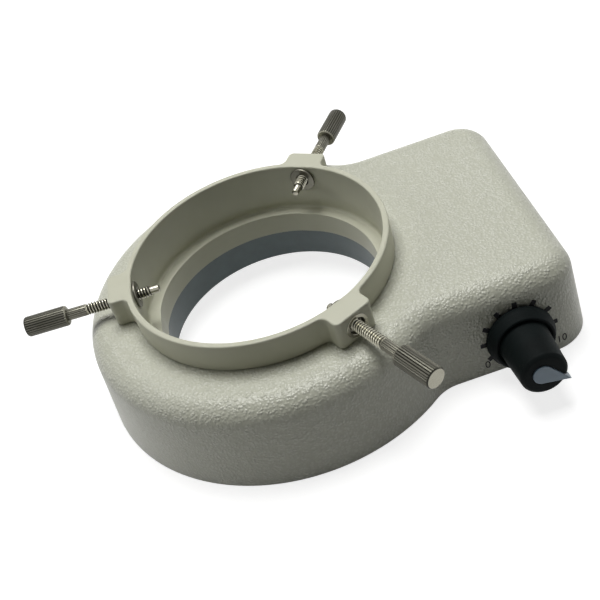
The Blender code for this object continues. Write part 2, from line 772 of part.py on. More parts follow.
def build_cover(black_paint, steel):
    bm = bmesh.new()
    inset = SIDE_WALL + SEAT_GAP + wall_point(COVER_TOP_Z)
    outline = box_outline(inset, SEAT_GAP)
    add_loft(bm, [at_height(outline, COVER_LIFT), at_height(outline, COVER_TOP_Z)])
    cover = make_object("base_cover", bm, black_paint)
    holes = bmesh.new()
    hole_r = COVER_SCREW_R + SEAT_GAP
    sink_r = COVER_SCREW_HEAD_R + SEAT_GAP
    sink_z = COVER_LIFT + COVER_SCREW_HEAD_T
    shank_z = sink_z - SEAT_GAP
    tip_z = COVER_TOP_Z + COVER_SCREW_GRIP
    for place in cover_screw_places():
        add_turned(holes, [(0, COVER_LIFT - OVERRUN), (sink_r, COVER_LIFT - OVERRUN),
                           (sink_r, COVER_LIFT), (hole_r, sink_z),
                           (hole_r, COVER_TOP_Z + OVERRUN), (0, COVER_TOP_Z + OVERRUN)],
                   SCREW_STEPS, place)
    add_boolean(cover, "DIFFERENCE", make_cutter("cut_cover_holes", holes))
    screw = [(0, COVER_LIFT), (COVER_SCREW_HEAD_R, COVER_LIFT), (COVER_SCREW_R, shank_z),
             (COVER_SCREW_R, tip_z), (0, tip_z)]
    make_screws("cover_screw", screw, cover_screw_places(), steel)


# Driver board and its components

def build_driver(laminate, steel, black_plastic, sleeve_blue, ferrite):
    bm = bmesh.new()
    add_block(bm, (DRIVER_LOW_X, DRIVER_LOW_Y, DRIVER_LIFT),
              (DRIVER_HIGH_X, DRIVER_HIGH_Y, DRIVER_TOP_Z))
    board = make_object("driver_board", bm, laminate)
    holes = bmesh.new()
    for place in driver_screw_places():
        add_rod(holes, place, BOARD_SCREW_R + SEAT_GAP, DRIVER_LIFT - OVERRUN,
                DRIVER_TOP_Z + OVERRUN, SCREW_STEPS)
    add_boolean(board, "DIFFERENCE", make_cutter("cut_driver_holes", holes))
    screw = pan_screw(DRIVER_LIFT, DRIVER_T + BOARD_SCREW_GRIP)
    make_screws("driver_board_screw", screw, driver_screw_places(), steel)

    seat_z = DRIVER_TOP_Z + SEAT_GAP
    capacitor = bmesh.new()
    add_rod(capacitor, (DRIVER_MIDDLE_X, CAPACITOR_Y, 0), CAPACITOR_R, seat_z,
            seat_z + CAPACITOR_HEIGHT, POST_STEPS)
    make_object("capacitor", capacitor, sleeve_blue)
    inductor = bmesh.new()
    add_rod(inductor, (DRIVER_MIDDLE_X, INDUCTOR_Y, 0), INDUCTOR_R, seat_z,
            seat_z + INDUCTOR_HEIGHT, POST_STEPS)
    make_object("inductor", inductor, ferrite)
    chip = bmesh.new()
    add_block(chip, (CHIP_X - CHIP_LENGTH / 2, CHIP_Y - CHIP_WIDTH / 2, seat_z),
              (CHIP_X + CHIP_LENGTH / 2, CHIP_Y + CHIP_WIDTH / 2, seat_z + CHIP_HEIGHT))
    make_object("driver_chip", chip, black_plastic)
    terminal = bmesh.new()
    add_block(terminal, (TERMINAL_X - TERMINAL_WIDTH / 2, TERMINAL_Y - TERMINAL_LENGTH / 2, seat_z),
              (TERMINAL_X + TERMINAL_WIDTH / 2, TERMINAL_Y + TERMINAL_LENGTH / 2,
               seat_z + TERMINAL_HEIGHT))
    make_object("terminal_block", terminal, black_plastic)


# Dimmer: everything on it is built along the dial's axis, out from the wall's face

def build_potentiometer(axis, steel, black_plastic):
    seat = -WALL_NORMAL - SEAT_GAP
    bore = outer_r(POT_SHAFT_R + RUNNING_GAP, INSERT_STEPS)
    floor = seat - POT_BORE_DEPTH
    body = [(0, seat - POT_DEPTH), (POT_R, seat - POT_DEPTH), (POT_R, seat),
            (POT_BUSHING_R, seat), (POT_BUSHING_R, POT_BUSHING_REACH),
            (bore, POT_BUSHING_REACH), (bore, floor), (0, floor)]
    make_object("potentiometer", turned(body, INSERT_STEPS), steel, axis)

    washer_top = SEAT_GAP + WASHER_T
    hole = outer_r(POT_BUSHING_R + SEAT_GAP, INSERT_STEPS)
    washer = [(hole, SEAT_GAP), (WASHER_R, SEAT_GAP), (WASHER_R, washer_top), (hole, washer_top)]
    make_object("pot_washer", turned(washer, INSERT_STEPS), steel, axis)
    nut_z = washer_top + SEAT_GAP
    nut = hexagon(POT_NUT_HALF_WIDTH, POT_BUSHING_R + SEAT_GAP, nut_z, nut_z + POT_NUT_T,
                  NUT_STEPS)
    make_object("pot_nut", nut, steel, axis)

    shaft_z = floor + SEAT_GAP
    shaft = [(0, shaft_z), (POT_SHAFT_R, shaft_z), (POT_SHAFT_R, POT_SHAFT_REACH),
             (0, POT_SHAFT_REACH)]
    make_object("pot_shaft", turned(shaft, INSERT_STEPS), black_plastic, axis)


def pointer_outline(grow):
    """A teardrop: a round end, and two straight sides that run out to the tip."""
    radius = POINTER_R + grow
    reach = POINTER_TIP - POINTER_OFFSET + grow
    half = math.acos(radius / reach)
    points = arc((POINTER_OFFSET, 0), radius, half, math.tau - half, POINTER_STEPS)
    points.append((POINTER_OFFSET + radius * math.cos(half), -radius * math.sin(half)))
    points.append((POINTER_OFFSET + reach, 0))
    turn = Matrix.Rotation(math.radians(POINTER_ANGLE_DEG), 2)
    return [tuple(turn @ Vector(point)) for point in points]


def build_knob(axis, black_plastic, white_plastic):
    back = KNOB_BACK_GAP
    skirt_top = back + KNOB_SKIRT_T
    groove = skirt_top - KNOB_GROOVE_DEPTH
    lip_r = (KNOB_SKIRT_TOP_R + KNOB_BASE_R) / 2
    end = back + KNOB_LENGTH
    recess_r = POT_NUT_HALF_WIDTH / math.cos(math.pi / 6) + SEAT_GAP
    recess = max(POT_BUSHING_REACH, SEAT_GAP + WASHER_T + SEAT_GAP + POT_NUT_T) + SEAT_GAP
    bore = outer_r(POT_SHAFT_R + SEAT_GAP / 2, KNOB_STEPS)
    bore_end = POT_SHAFT_REACH + SEAT_GAP
    profile = [(recess_r, back), (KNOB_SKIRT_R, back), (KNOB_SKIRT_R, back + KNOB_SKIRT_RIM),
               (KNOB_SKIRT_TOP_R, skirt_top), (lip_r, skirt_top), (KNOB_BASE_R, groove),
               (KNOB_END_R, end - KNOB_END_BEVEL), (KNOB_END_R - KNOB_END_BEVEL, end), (0, end)]
    inside = [(0, bore_end), (bore, bore_end), (bore, recess), (recess_r, recess)]
    bm = bmesh.new()
    add_turned(bm, inside + profile, KNOB_STEPS)
    knob = make_object("knob", bm, black_plastic, axis)

    seat = end - POINTER_SEAT
    pocket = bmesh.new()
    add_loft(pocket, [at_height(pointer_outline(SEAT_GAP / 2), seat - SEAT_GAP),
                      at_height(pointer_outline(SEAT_GAP / 2), end + OVERRUN)])
    add_boolean(knob, "DIFFERENCE", make_cutter("cut_pointer_pocket", pocket, axis))
    bm = bmesh.new()
    add_loft(bm, [at_height(pointer_outline(0), seat),
                  at_height(pointer_outline(0), end + POINTER_RISE)])
    make_object("knob_pointer", bm, white_plastic, axis)


# Power inlet

def build_jack(axis, black_plastic, nickel):
    face = SEAT_GAP + JACK_RIM_T
    back = -JACK_DEPTH
    barrel = JACK_BARREL_R
    floor = back + JACK_BACK_T
    pin_hole = outer_r(JACK_PIN_R + SEAT_GAP, INSERT_STEPS)
    body = [(JACK_BORE_R, face), (JACK_RIM_R, face), (JACK_RIM_R, SEAT_GAP),
            (barrel, SEAT_GAP), (barrel, back), (pin_hole, back), (pin_hole, floor),
            (JACK_BORE_R, floor)]
    make_object("power_jack", turned(body, INSERT_STEPS), black_plastic, axis)
    nut_top = -WALL_NORMAL - SEAT_GAP
    nut = hexagon(JACK_NUT_HALF_WIDTH, barrel + SEAT_GAP, nut_top - JACK_NUT_T, nut_top,
                  NUT_STEPS)
    make_object("jack_nut", nut, nickel, axis)
    pin = [(0, back - JACK_PIN_TAIL), (JACK_PIN_R, back - JACK_PIN_TAIL),
           (JACK_PIN_R, face - JACK_PIN_SETBACK), (0, face - JACK_PIN_SETBACK)]
    make_object("jack_pin", turned(pin, SCREW_STEPS), nickel, axis)


# Internal leads

def smooth_route(points):
    """A smooth curve through the points, which leaves both ends straight."""
    knots = [Vector(point) for point in points]
    knots = [2 * knots[0] - knots[1]] + knots + [2 * knots[-1] - knots[-2]]
    route = [knots[1]]
    for before, start, end, after in zip(knots, knots[1:], knots[2:], knots[3:]):
        for index in range(1, LEAD_SPAN_POINTS + 1):
            t = index / LEAD_SPAN_POINTS
            route.append((2 * start + (end - before) * t
                          + (2 * before - 5 * start + 4 * end - after) * t ** 2
                          + (3 * start - before - 3 * end + after) * t ** 3) / 2)
    return route


def build_lead(name, points, material):
    curve = bpy.data.curves.new(name, "CURVE")
    curve.dimensions = "3D"
    curve.bevel_depth = LEAD_R
    curve.bevel_resolution = 1
    curve.use_fill_caps = True
    route = smooth_route(points)
    spline = curve.splines.new("POLY")
    spline.points.add(len(route) - 1)
    for point, place in zip(spline.points, route):
        point.co = (*place, 1)
    curve.materials.append(material)
    lead = bpy.data.objects.new(name, curve)
    bpy.context.scene.collection.objects.link(lead)


def build_leads(dial_axis, jack_axis, red, grey):
    """Each lead leaves one piece square to its face and comes down on the driver board."""
    bend_x = Vector((LEAD_BEND, 0, 0))
    bend_z = Vector((0, 0, LEAD_BEND))
    block_z = DRIVER_TOP_Z + SEAT_GAP + TERMINAL_HEIGHT + SEAT_GAP
    dial = dial_axis.matrix_world
    jack = jack_axis.matrix_world

    back = -WALL_NORMAL - SEAT_GAP - POT_DEPTH - SEAT_GAP
    start = dial @ Vector((0, 0, back))
    away = dial @ Vector((0, 0, back - LEAD_BEND))
    pad = Vector((DRIVER_LOW_X + LEAD_R + SEAT_GAP, DRIVER_LOW_Y + POT_PAD_EDGE,
                  DRIVER_TOP_Z + SEAT_GAP))
    build_lead("pot_lead", (start, away, pad + bend_z, pad), grey)

    back = -JACK_DEPTH - JACK_PIN_TAIL - SEAT_GAP
    start = jack @ Vector((0, 0, back))
    away = jack @ Vector((0, 0, back - LEAD_BEND))
    block = Vector((TERMINAL_X, TERMINAL_Y + TERMINAL_LENGTH / 4, block_z))
    build_lead("jack_lead", (start, away, block + bend_z, block), red)

    slot_y = TERMINAL_Y - TERMINAL_LENGTH / 4
    slot_z = SLOT_LOW_Z + SLOT_HEIGHT / 2
    board_x = math.sqrt(board_outer_r() ** 2 - slot_y ** 2)
    wall_x = math.sqrt((PARTITION_R - PARTITION_WALL) ** 2 - slot_y ** 2)
    start = Vector((board_x - LAMP_EDGE - LEAD_BEND, slot_y, BOARD_TOP_Z + SEAT_GAP))
    before = Vector((wall_x - LEAD_BEND, slot_y, slot_z))
    after = Vector((PARTITION_R + LEAD_R, slot_y, slot_z))
    block = Vector((TERMINAL_X, slot_y, block_z))
    route = (start, start + bend_z, before, after, block + bend_z - bend_x / 2, block)
    build_lead("lamp_lead", route, grey)


def main():
    for item in list(bpy.data.objects):
        bpy.data.objects.remove(item, do_unlink=True)

    cream_paint = make_material("cream_wrinkle_paint", srgb(214, 212, 196), 0.55, 0.0)
    collar_paint = make_material("cream_smooth_paint", srgb(208, 206, 188), 0.45, 0.0)
    dark_paint = make_material("dark_sleeve", srgb(84, 88, 90), 0.5, 0.0)
    black_paint = make_material("black_paint", srgb(34, 34, 36), 0.5, 0.0)
    nickel = make_material("nickel", srgb(190, 186, 172), 0.25, 1.0)
    steel = make_material("zinc_steel", srgb(176, 178, 180), 0.35, 1.0)
    black_plastic = make_material("black_plastic", srgb(24, 26, 27), 0.45, 0.0)
    white_plastic = make_material("white_plastic", srgb(214, 220, 226), 0.4, 0.0)
    laminate = make_material("board_laminate", srgb(222, 224, 220), 0.5, 0.0)
    green = make_material("green_laminate", srgb(32, 92, 56), 0.5, 0.0)
    blue = make_material("blue_sleeve", srgb(36, 52, 96), 0.4, 0.0)
    ferrite = make_material("ferrite", srgb(52, 50, 48), 0.7, 0.0)
    red = make_material("red_insulation", srgb(168, 32, 28), 0.5, 0.0)
    grey = make_material("grey_insulation", srgb(110, 112, 114), 0.5, 0.0)

    tilt = math.pi / 2 - DRAFT
    dial_axis = make_axis(
        "dial_axis", (DIAL_X, wall_point(DIAL_Z) - BOX_HALF_WIDTH, DIAL_Z),
        Matrix.Rotation(tilt, 4, "X"))
    jack_axis = make_axis(
        "jack_axis", (BOX_END_X - wall_point(JACK_Z), JACK_Y, JACK_Z),
        Matrix.Rotation(tilt, 4, "Y"))

    build_housing(cream_paint, dial_axis, jack_axis)
    collar = build_collar(collar_paint)
    build_clamps(collar, nickel)
    build_sleeve(dark_paint, steel)
    build_led_board(laminate, steel)
    build_cover(black_paint, steel)
    build_driver(green, steel, black_plastic, blue, ferrite)
    build_potentiometer(dial_axis, steel, black_plastic)
    build_knob(dial_axis, black_plastic, white_plastic)
    build_jack(jack_axis, black_plastic, nickel)
    build_leads(dial_axis, jack_axis, red, grey)


main()
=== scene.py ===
"""Looks of the LED ring light: its dressed pieces, materials, floor, lights and camera."""
import math

import bmesh
import bpy
from mathutils import Matrix, Vector


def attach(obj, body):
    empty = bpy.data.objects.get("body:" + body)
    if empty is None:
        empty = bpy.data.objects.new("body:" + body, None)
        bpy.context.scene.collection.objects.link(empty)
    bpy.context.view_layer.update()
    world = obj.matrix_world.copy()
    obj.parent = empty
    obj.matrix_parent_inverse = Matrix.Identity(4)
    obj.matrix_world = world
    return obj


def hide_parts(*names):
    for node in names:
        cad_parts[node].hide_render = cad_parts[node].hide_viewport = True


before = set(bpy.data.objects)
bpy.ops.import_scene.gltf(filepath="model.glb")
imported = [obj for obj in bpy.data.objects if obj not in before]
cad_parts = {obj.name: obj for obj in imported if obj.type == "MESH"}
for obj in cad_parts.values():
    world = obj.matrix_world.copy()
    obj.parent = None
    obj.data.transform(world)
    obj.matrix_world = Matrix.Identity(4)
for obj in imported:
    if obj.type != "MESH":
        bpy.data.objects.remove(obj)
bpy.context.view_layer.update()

# Sizes that the pieces share with the solids, in metres
GAP = 0.0003
OVERRUN = 0.0010
RING_R = 0.0499
BOX_HALF_WIDTH = 0.0374
BOX_END_X = 0.0729
BOX_CORNER_R = 0.0107
FLARE_R = 0.0100
BODY_HEIGHT = 0.0244
TOP_EDGE_R = 0.0060
DRAFT = math.radians(4.9)
SIDE_WALL = 0.0025
TOP_WALL = 0.0028
PARTITION_R = 0.0494
CEILING_Z = BODY_HEIGHT - TOP_WALL
CAVITY_EDGE_R = 0.0035
POST_R = 0.0024
POST_ROOT = 0.0005
POST_HOLE_R = 0.0016
POST_HOLE_DEPTH = 0.006
COLLAR_BORE_R = 0.0330
COLLAR_R = 0.0346
COLLAR_TOP_Z = 0.0324
COLLAR_EDGE = 0.0004
BARREL_R = 0.0341
BARREL_Z = 0.0122
THROAT_R = 0.0297
LEDGE_Z = 0.0185
HOUSING_BORE_R = BARREL_R + GAP
NECK_R = 0.0369
BOSS_FACE_R = 0.0392
BOSS_HALF_WIDTH = 0.0054
BOSS_CORNER_R = 0.0014
BOSS_ROOT_R = 0.0020
CLAMP_Z = 0.0284
CLAMP_DEGREES = {"a": 175.8, "b": 295.8, "c": 55.8}
TIP_R = {"a": 0.0265, "b": 0.0290, "c": 0.0265}
SLEEVE_BORE_R = 0.0301
SLEEVE_R = 0.0306
SLEEVE_Z = 0.0036
SLEEVE_HOLE_R = 0.0013
SLEEVE_HOLE_DEPTH = 0.0058
FLANGE_R = NECK_R - 0.0001
FLANGE_Z = 0.0102
FLANGE_TOP_Z = 0.0119
BOARD_Z = 0.0068
BOARD_TOP_Z = 0.0084
BOARD_INNER_R = 0.0311
BOARD_OUTER_R = RING_R - SIDE_WALL - BOARD_TOP_Z * math.tan(DRAFT) - 0.0005
BOARD_SCREW_R = 0.0396
BOARD_SCREW_DEGREES = 45
SLEEVE_SCREW_R = 0.0325
SLEEVE_SCREW_DEGREES = 235.8
COVER_SEAT_Z = 0.0019
COVER_HOLE_R = 0.0017
COVER_HOLE_TOP_Z = 0.0094
COVER_SCREW_X = (0.043790, 0.0650)
COVER_SCREW_Y = 0.0295
DRIVER_TOP_Z = 0.0058
DRIVER_SCREWS = ((0.0635, -0.0161, 0), (0.0541, 0.0241, 0))
LEAD_SLOT_X = (0.04215, PARTITION_R + OVERRUN)
LEAD_SLOT_Y = (0.01025 - 0.003, 0.01025 + 0.003)
LEAD_SLOT_Z = (0.013, 0.017)
DIAL_X = 0.053695
DIAL_Z = 0.0094
DIAL_HOLE_R = 0.0039
JACK_Y = 0.0200
JACK_Z = 0.0110
JACK_HOLE_R = 0.0042

# The angles from which an edge between two faces is sharp, in degrees
SHARP = 32
FLUTE_SHARP = 28
KNOB_SHARP = 40


# Mesh helpers

def polar(radius, angle, z=0.0):
    return Vector((radius * math.cos(angle), radius * math.sin(angle), z))


def arc(centre, radius, start, end, steps):
    """Points along an arc, without its last one."""
    points = []
    for index in range(steps):
        angle = start + (end - start) * index / steps
        points.append((centre[0] + radius * math.cos(angle),
                       centre[1] + radius * math.sin(angle)))
    return points


def rectangle(low_x, high_x, low_y, high_y):
    return [(low_x, low_y), (high_x, low_y), (high_x, high_y), (low_x, high_y)]


def turned(points, angle):
    """Flat points, turned about the origin."""
    turn = Matrix.Rotation(angle, 2)
    return [tuple(turn @ Vector(point)) for point in points]


def at_height(points, z):
    return [Vector((x, y, z)) for x, y in points]


def add_loft(bm, loops, closed=False):
    """Join loops of equal length with quads. Cap the ends unless the loft is closed."""
    rows = [[bm.verts.new(point) for point in loop] for loop in loops]
    count = len(rows[0])
    pairs = list(zip(rows, rows[1:]))
    if closed:
        pairs.append((rows[-1], rows[0]))
    else:
        bm.faces.new(rows[0])
        bm.faces.new(rows[-1])
    for low, high in pairs:
        for index in range(count):
            after = (index + 1) % count
            bm.faces.new((low[index], low[after], high[after], high[index]))


def add_turned(bm, profile, steps, centre=(0, 0, 0)):
    """Spin (radius, height) points about Z. Points on the axis become one vertex."""
    base = Vector(centre)
    rows = []
    for radius, height in profile:
        if radius == 0:
            rows.append([bm.verts.new(base + Vector((0, 0, height)))])
        else:
            rows.append([bm.verts.new(base + polar(radius, math.tau * i / steps, height))
                         for i in range(steps)])
    pairs = list(zip(rows, rows[1:]))
    if len(rows[0]) > 1 and len(rows[-1]) > 1:
        pairs.append((rows[-1], rows[0]))
    for low, high in pairs:
        for i in range(steps):
            j = (i + 1) % steps
            if len(low) == 1:
                bm.faces.new((low[0], high[j], high[i]))
            elif len(high) == 1:
                bm.faces.new((low[i], low[j], high[0]))
            else:
                bm.faces.new((low[i], low[j], high[j], high[i]))


def add_rod(bm, place, radius, low_z, high_z, steps=32):
    add_turned(bm, [(0, low_z), (radius, low_z), (radius, high_z), (0, high_z)], steps, place)


def rounded(profile, radius, steps):
    """Round the corners of an open (radius, height) profile by a small radius."""
    share_of_side = 0.45
    points = [profile[0]]
    for before, here, after in zip(profile, profile[1:], profile[2:]):
        corner = Vector(here)
        into = Vector(before) - corner
        out = Vector(after) - corner
        reach = min(radius, into.length * share_of_side, out.length * share_of_side)
        start = corner + into.normalized() * reach
        end = corner + out.normalized() * reach
        for index in range(steps + 1):
            t = index / steps
            point = start * (1 - t) ** 2 + corner * 2 * t * (1 - t) + end * t ** 2
            points.append((max(point.x, 0.0), point.y))
    points.append(profile[-1])
    return points


def link_object(name, data):
    item = bpy.data.objects.new(name, data)
    bpy.context.scene.collection.objects.link(item)
    return item


def take_mesh(name, bm):
    """Turn a bmesh into a mesh whose faces look outwards, and free it."""
    bmesh.ops.recalc_face_normals(bm, faces=bm.faces)
    mesh = bpy.data.meshes.new(name)
    bm.to_mesh(mesh)
    bm.free()
    return mesh


def evaluated_mesh(item):
    """An object's mesh after its modifiers."""
    bpy.context.view_layer.update()
    graph = bpy.context.evaluated_depsgraph_get()
    return bpy.data.meshes.new_from_object(item.evaluated_get(graph), depsgraph=graph)


def smooth(mesh, sharp):
    mesh.shade_smooth()
    mesh.set_sharp_from_angle(angle=math.radians(sharp))


def weight_normals(piece):
    modifier = piece.modifiers.new("weighted", "WEIGHTED_NORMAL")
    modifier.keep_sharp = True


def finish_mesh(name, bm, material, matrix=None, sharp=SHARP, weighted=True):
    """Turn a bmesh into an object with clean normals."""
    mesh = take_mesh(name, bm)
    smooth(mesh, sharp)
    mesh.materials.append(material)
    piece = link_object(name, mesh)
    if matrix is not None:
        mesh.transform(matrix)
    if weighted:
        weight_normals(piece)
    return piece


def carve(piece, cutters, sharp=SHARP):
    """Cut or add closed meshes, each (operation, bmesh, matrix), and keep the result."""
    tools = []
    for number, (operation, bm, matrix) in enumerate(cutters):
        mesh = take_mesh("tool", bm)
        if matrix is not None:
            mesh.transform(matrix)
        modifier = piece.modifiers.new(f"cut_{number}", "BOOLEAN")
        modifier.operation = operation
        modifier.solver = "EXACT"
        modifier.object = link_object("tool", mesh)
        tools.append(modifier.object)
    piece.modifiers.remove(piece.modifiers["weighted"])
    old = piece.data
    piece.data = evaluated_mesh(piece)
    piece.modifiers.clear()
    bpy.data.meshes.remove(old)
    for tool in tools:
        mesh = tool.data
        bpy.data.objects.remove(tool)
        bpy.data.meshes.remove(mesh)
    smooth(piece.data, sharp)
    weight_normals(piece)


def place_piece(piece, body, slot, *nodes):
    """Put a piece on its body and hide the solids that it stands for. Its slot is not used."""
    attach(piece, body)
    if nodes:
        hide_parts(*nodes)


# Materials. Noise scales are per metre, reliefs in metres and colours 0 to 255.

# The parts of a noise's range over which a tone or a polish changes
NARROW = (0.35, 0.65)
UPPER = (0.35, 0.7)
WIDE = (0.3, 0.7)


def srgb(colour):
    """A colour of the display, as the shaders take it."""
    def linear(value):
        value = value / 255
        return value / 12.92 if value <= 0.04045 else ((value + 0.055) / 1.055) ** 2.4
    return tuple(linear(value) for value in colour) + (1.0,)


def add_node(tree, kind, inputs=None, **settings):
    """Add a node. An input is linked where it is given a socket, or else it gets a value."""
    node = tree.nodes.new(kind)
    for key, value in settings.items():
        setattr(node, key, value)
    for key, value in (inputs or {}).items():
        if isinstance(value, bpy.types.NodeSocket):
            tree.links.new(value, node.inputs[key])
        else:
            node.inputs[key].default_value = value
    return node


class Shader:
    """A small wrapper that keeps the node code short."""

    def __init__(self, name, metallic=0.0, specular=0.5):
        self.material = bpy.data.materials.new(name)
        self.material.use_nodes = True
        self.tree = self.material.node_tree
        self.main = self.tree.nodes["Principled BSDF"]
        self.main.inputs["Metallic"].default_value = metallic
        self.main.inputs["Specular IOR Level"].default_value = specular
        self.place = self.node("ShaderNodeTexCoord").outputs["Object"]

    def node(self, kind, inputs=None, **settings):
        return add_node(self.tree, kind, inputs, **settings)

    def noise(self, scale, detail=2.0, roughness=0.5):
        node = self.node("ShaderNodeTexNoise", {"Vector": self.place, "Scale": scale,
                                                "Detail": detail, "Roughness": roughness})
        return node.outputs["Fac"]

    def mottle(self, scale):
        return self.noise(scale, 3.0, 0.6)

    def cells(self, place, scale, smoothness):
        """How far a point lies from the middle of its grain, about 0 to 0.8."""
        node = self.node("ShaderNodeTexVoronoi", {"Vector": place, "Scale": scale,
                                                  "Smoothness": smoothness}, feature="SMOOTH_F1")
        return node.outputs["Distance"]

    def scattered(self, scale, reach):
        """The surface's coordinates, pushed about by noise."""
        noise = self.node("ShaderNodeTexNoise", {"Vector": self.place, "Scale": scale,
                                                 "Detail": 1.0})
        push = self.node("ShaderNodeVectorMath", {0: noise.outputs["Color"], "Scale": reach},
                         operation="SCALE")
        total = self.node("ShaderNodeVectorMath", {0: self.place, 1: push.outputs[0]},
                          operation="ADD")
        return total.outputs[0]

    def layer(self, name):
        """A value that the mesh carries at its points."""
        return self.node("ShaderNodeAttribute", attribute_name=name).outputs["Fac"]

    def ramp(self, factor, span, values=(0.0, 1.0)):
        node = self.node("ShaderNodeMapRange", {"Value": factor,
                                                "From Min": span[0], "From Max": span[1],
                                                "To Min": values[0], "To Max": values[1]})
        return node.outputs["Result"]

    def math(self, operation, first, second):
        node = self.node("ShaderNodeMath", {0: first, 1: second}, operation=operation)
        return node.outputs["Value"]

    def add_share(self, first, second, share):
        return self.math("ADD", first, self.math("MULTIPLY", second, share))

    def mix(self, factor, first, second):
        """The colour inputs and the colour result of this node go by number."""
        node = self.node("ShaderNodeMix", {"Factor": factor, 6: first, 7: second},
                         data_type="RGBA")
        return node.outputs[2]

    def drift(self, tone, span, shade, colour):
        """A colour that drifts to a darker shade and back."""
        return self.mix(self.ramp(tone, span), srgb(shade), srgb(colour))

    def bump(self, height, relief):
        node = self.node("ShaderNodeBump", {"Height": height, "Distance": relief,
                                            "Strength": 1.0})
        return node.outputs["Normal"]

    def use(self, colour, roughness, normal=None):
        self.tree.links.new(colour, self.main.inputs["Base Color"])
        self.tree.links.new(roughness, self.main.inputs["Roughness"])
        if normal is not None:
            self.tree.links.new(normal, self.main.inputs["Normal"])
        return self.material


def wrinkle_paint():
    """Pebbled powder coat: rounded grains under a millimetre wide, with fine grain on them."""
    shader = Shader("wrinkle_paint")
    place = shader.scattered(scale=900, reach=0.0004)
    grains = shader.cells(place, scale=1450, smoothness=0.12)
    domes = shader.ramp(grains, (0.08, 0.68), (1.0, 0.0))
    swell = shader.noise(520)
    fine = shader.noise(3200)
    height = shader.math("MULTIPLY", domes, shader.ramp(swell, NARROW, (0.5, 1.0)))
    height = shader.add_share(height, swell, 0.45)
    height = shader.add_share(height, fine, 0.09)
    body = shader.drift(shader.mottle(55), NARROW, (198, 199, 183), (202, 203, 188))
    # The colour is darker where the surface lies lower between the grains: painted shade in the
    # hollows.
    colour = shader.mix(shader.ramp(height, (0.3, 0.8)), srgb((190, 191, 174)), body)
    return shader.use(colour, shader.ramp(fine, WIDE, (0.29, 0.39)),
                      shader.bump(height, relief=0.00017))


def smooth_paint():
    """The collar's paint: the same colour, nearly smooth."""
    shader = Shader("smooth_paint", specular=0.3)
    peel = shader.noise(420)
    fine = shader.noise(3000)
    colour = shader.drift(shader.mottle(70), NARROW, (199, 199, 179), (203, 203, 184))
    return shader.use(colour, shader.ramp(peel, WIDE, (0.36, 0.46)),
                      shader.bump(shader.add_share(peel, fine, 0.25), relief=0.00002))


def metal(name, colour, shade, roughness):
    """Plated metal with small changes of tone and polish."""
    shader = Shader(name, metallic=1.0)
    fine = shader.mottle(1800)
    polish = shader.ramp(fine, WIDE, (roughness * 0.8, roughness * 1.25))
    return shader.use(shader.drift(shader.mottle(240), UPPER, shade, colour), polish,
                      shader.bump(fine, relief=0.000006))


def screw_metal():
    """Plated metal: its points carry how bright the metal is there, and its dark tone is painted
    shade in the grooves.
    """
    shader = Shader("screw_plate", metallic=1.0)
    tone = shader.mottle(260)
    fine = shader.mottle(2200)
    bright = shader.layer("polish")
    # The dark tone is painted shade for the grooves, the thread's roots and the rim round the
    # end.
    groove_shade = shader.drift(tone, UPPER, (22, 23, 20), (28, 29, 26))
    plate = shader.drift(tone, UPPER, (206, 203, 184), (218, 215, 198))
    rough = shader.math("ADD", shader.ramp(bright, (0.0, 0.6), (0.50, 0.17)),
                        shader.ramp(fine, WIDE, (-0.03, 0.03)))
    return shader.use(shader.mix(bright, groove_shade, plate), rough,
                      shader.bump(fine, relief=0.000001))


def plastic(name, colour, shade, roughness, grain=2600, relief=0.000012, specular=0.5):
    """Moulded plastic or painted metal with a fine grain."""
    shader = Shader(name, specular=specular)
    fine = shader.noise(grain, 2.0, 0.55)
    polish = shader.ramp(fine, WIDE, (roughness * 0.88, roughness * 1.12))
    return shader.use(shader.drift(shader.mottle(150), WIDE, shade, colour), polish,
                      shader.bump(fine, relief))


def board_finish(name, colour, trace, pitch):
    """Solder mask over faint copper tracks."""
    shader = Shader(name)
    tracks = shader.node("ShaderNodeTexWave",
                         {"Vector": shader.place, "Scale": pitch, "Distortion": 0.0},
                         wave_type="RINGS", rings_direction="Z")
    line = shader.ramp(tracks.outputs["Fac"], (0.86, 0.94))
    fine = shader.noise(2600)
    return shader.use(shader.mix(line, srgb(colour), srgb(trace)),
                      shader.ramp(fine, WIDE, (0.3, 0.42)),
                      shader.bump(shader.add_share(line, fine, 0.2), relief=0.00003))


def lens_epoxy():
    """Water-clear epoxy of the lamps."""
    shader = Shader("lamp_epoxy")
    shader.main.inputs["Transmission Weight"].default_value = 0.75
    shader.main.inputs["IOR"].default_value = 1.5
    fine = shader.noise(900)
    return shader.use(shader.drift(fine, WIDE, (236, 240, 244), (246, 248, 250)),
                      shader.ramp(fine, WIDE, (0.05, 0.12)))


PAINT = wrinkle_paint()
COLLAR_PAINT = smooth_paint()
NICKEL = screw_metal()
ZINC = metal("zinc_plate", (182, 184, 186), (158, 160, 164), 0.34)
CUP = metal("lamp_cup", (214, 214, 208), (190, 190, 184), 0.22)
SLEEVE = plastic("sleeve_paint", (90, 105, 108), (81, 95, 97), 0.42)
KNOB = plastic("knob_plastic", (14, 20, 20), (8, 12, 12), 0.6, specular=0.06)
POINTER = plastic("pointer_plastic", (141, 160, 175), (132, 150, 165), 0.35)
INK = plastic("dial_ink", (20, 21, 22), (13, 14, 15), 0.6, specular=0.15)
COVER = plastic("cover_paint", (38, 38, 40), (29, 29, 31), 0.5, grain=1400, relief=0.00003)
BLACK = plastic("black_plastic", (26, 27, 28), (18, 19, 20), 0.45)
PHOSPHOR = plastic("lamp_phosphor", (232, 214, 120), (224, 202, 100), 0.6)
MASK = board_finish("white_board", (226, 228, 224), (206, 210, 204), 62)
GREEN = board_finish("green_board", (30, 92, 56), (44, 116, 70), 90)
EPOXY = lens_epoxy()


# Housing

# The foot's small round edge, and the height where the drafted wall starts
FOOT_EDGE = [(0.00028, 0.0), (0.00010, 0.00008), (0.00003, 0.00018)]
FOOT_EDGE_Z = 0.00035
# How far inside the rolled edge the flat top's own loop lies
TOP_MARGIN = 0.00025

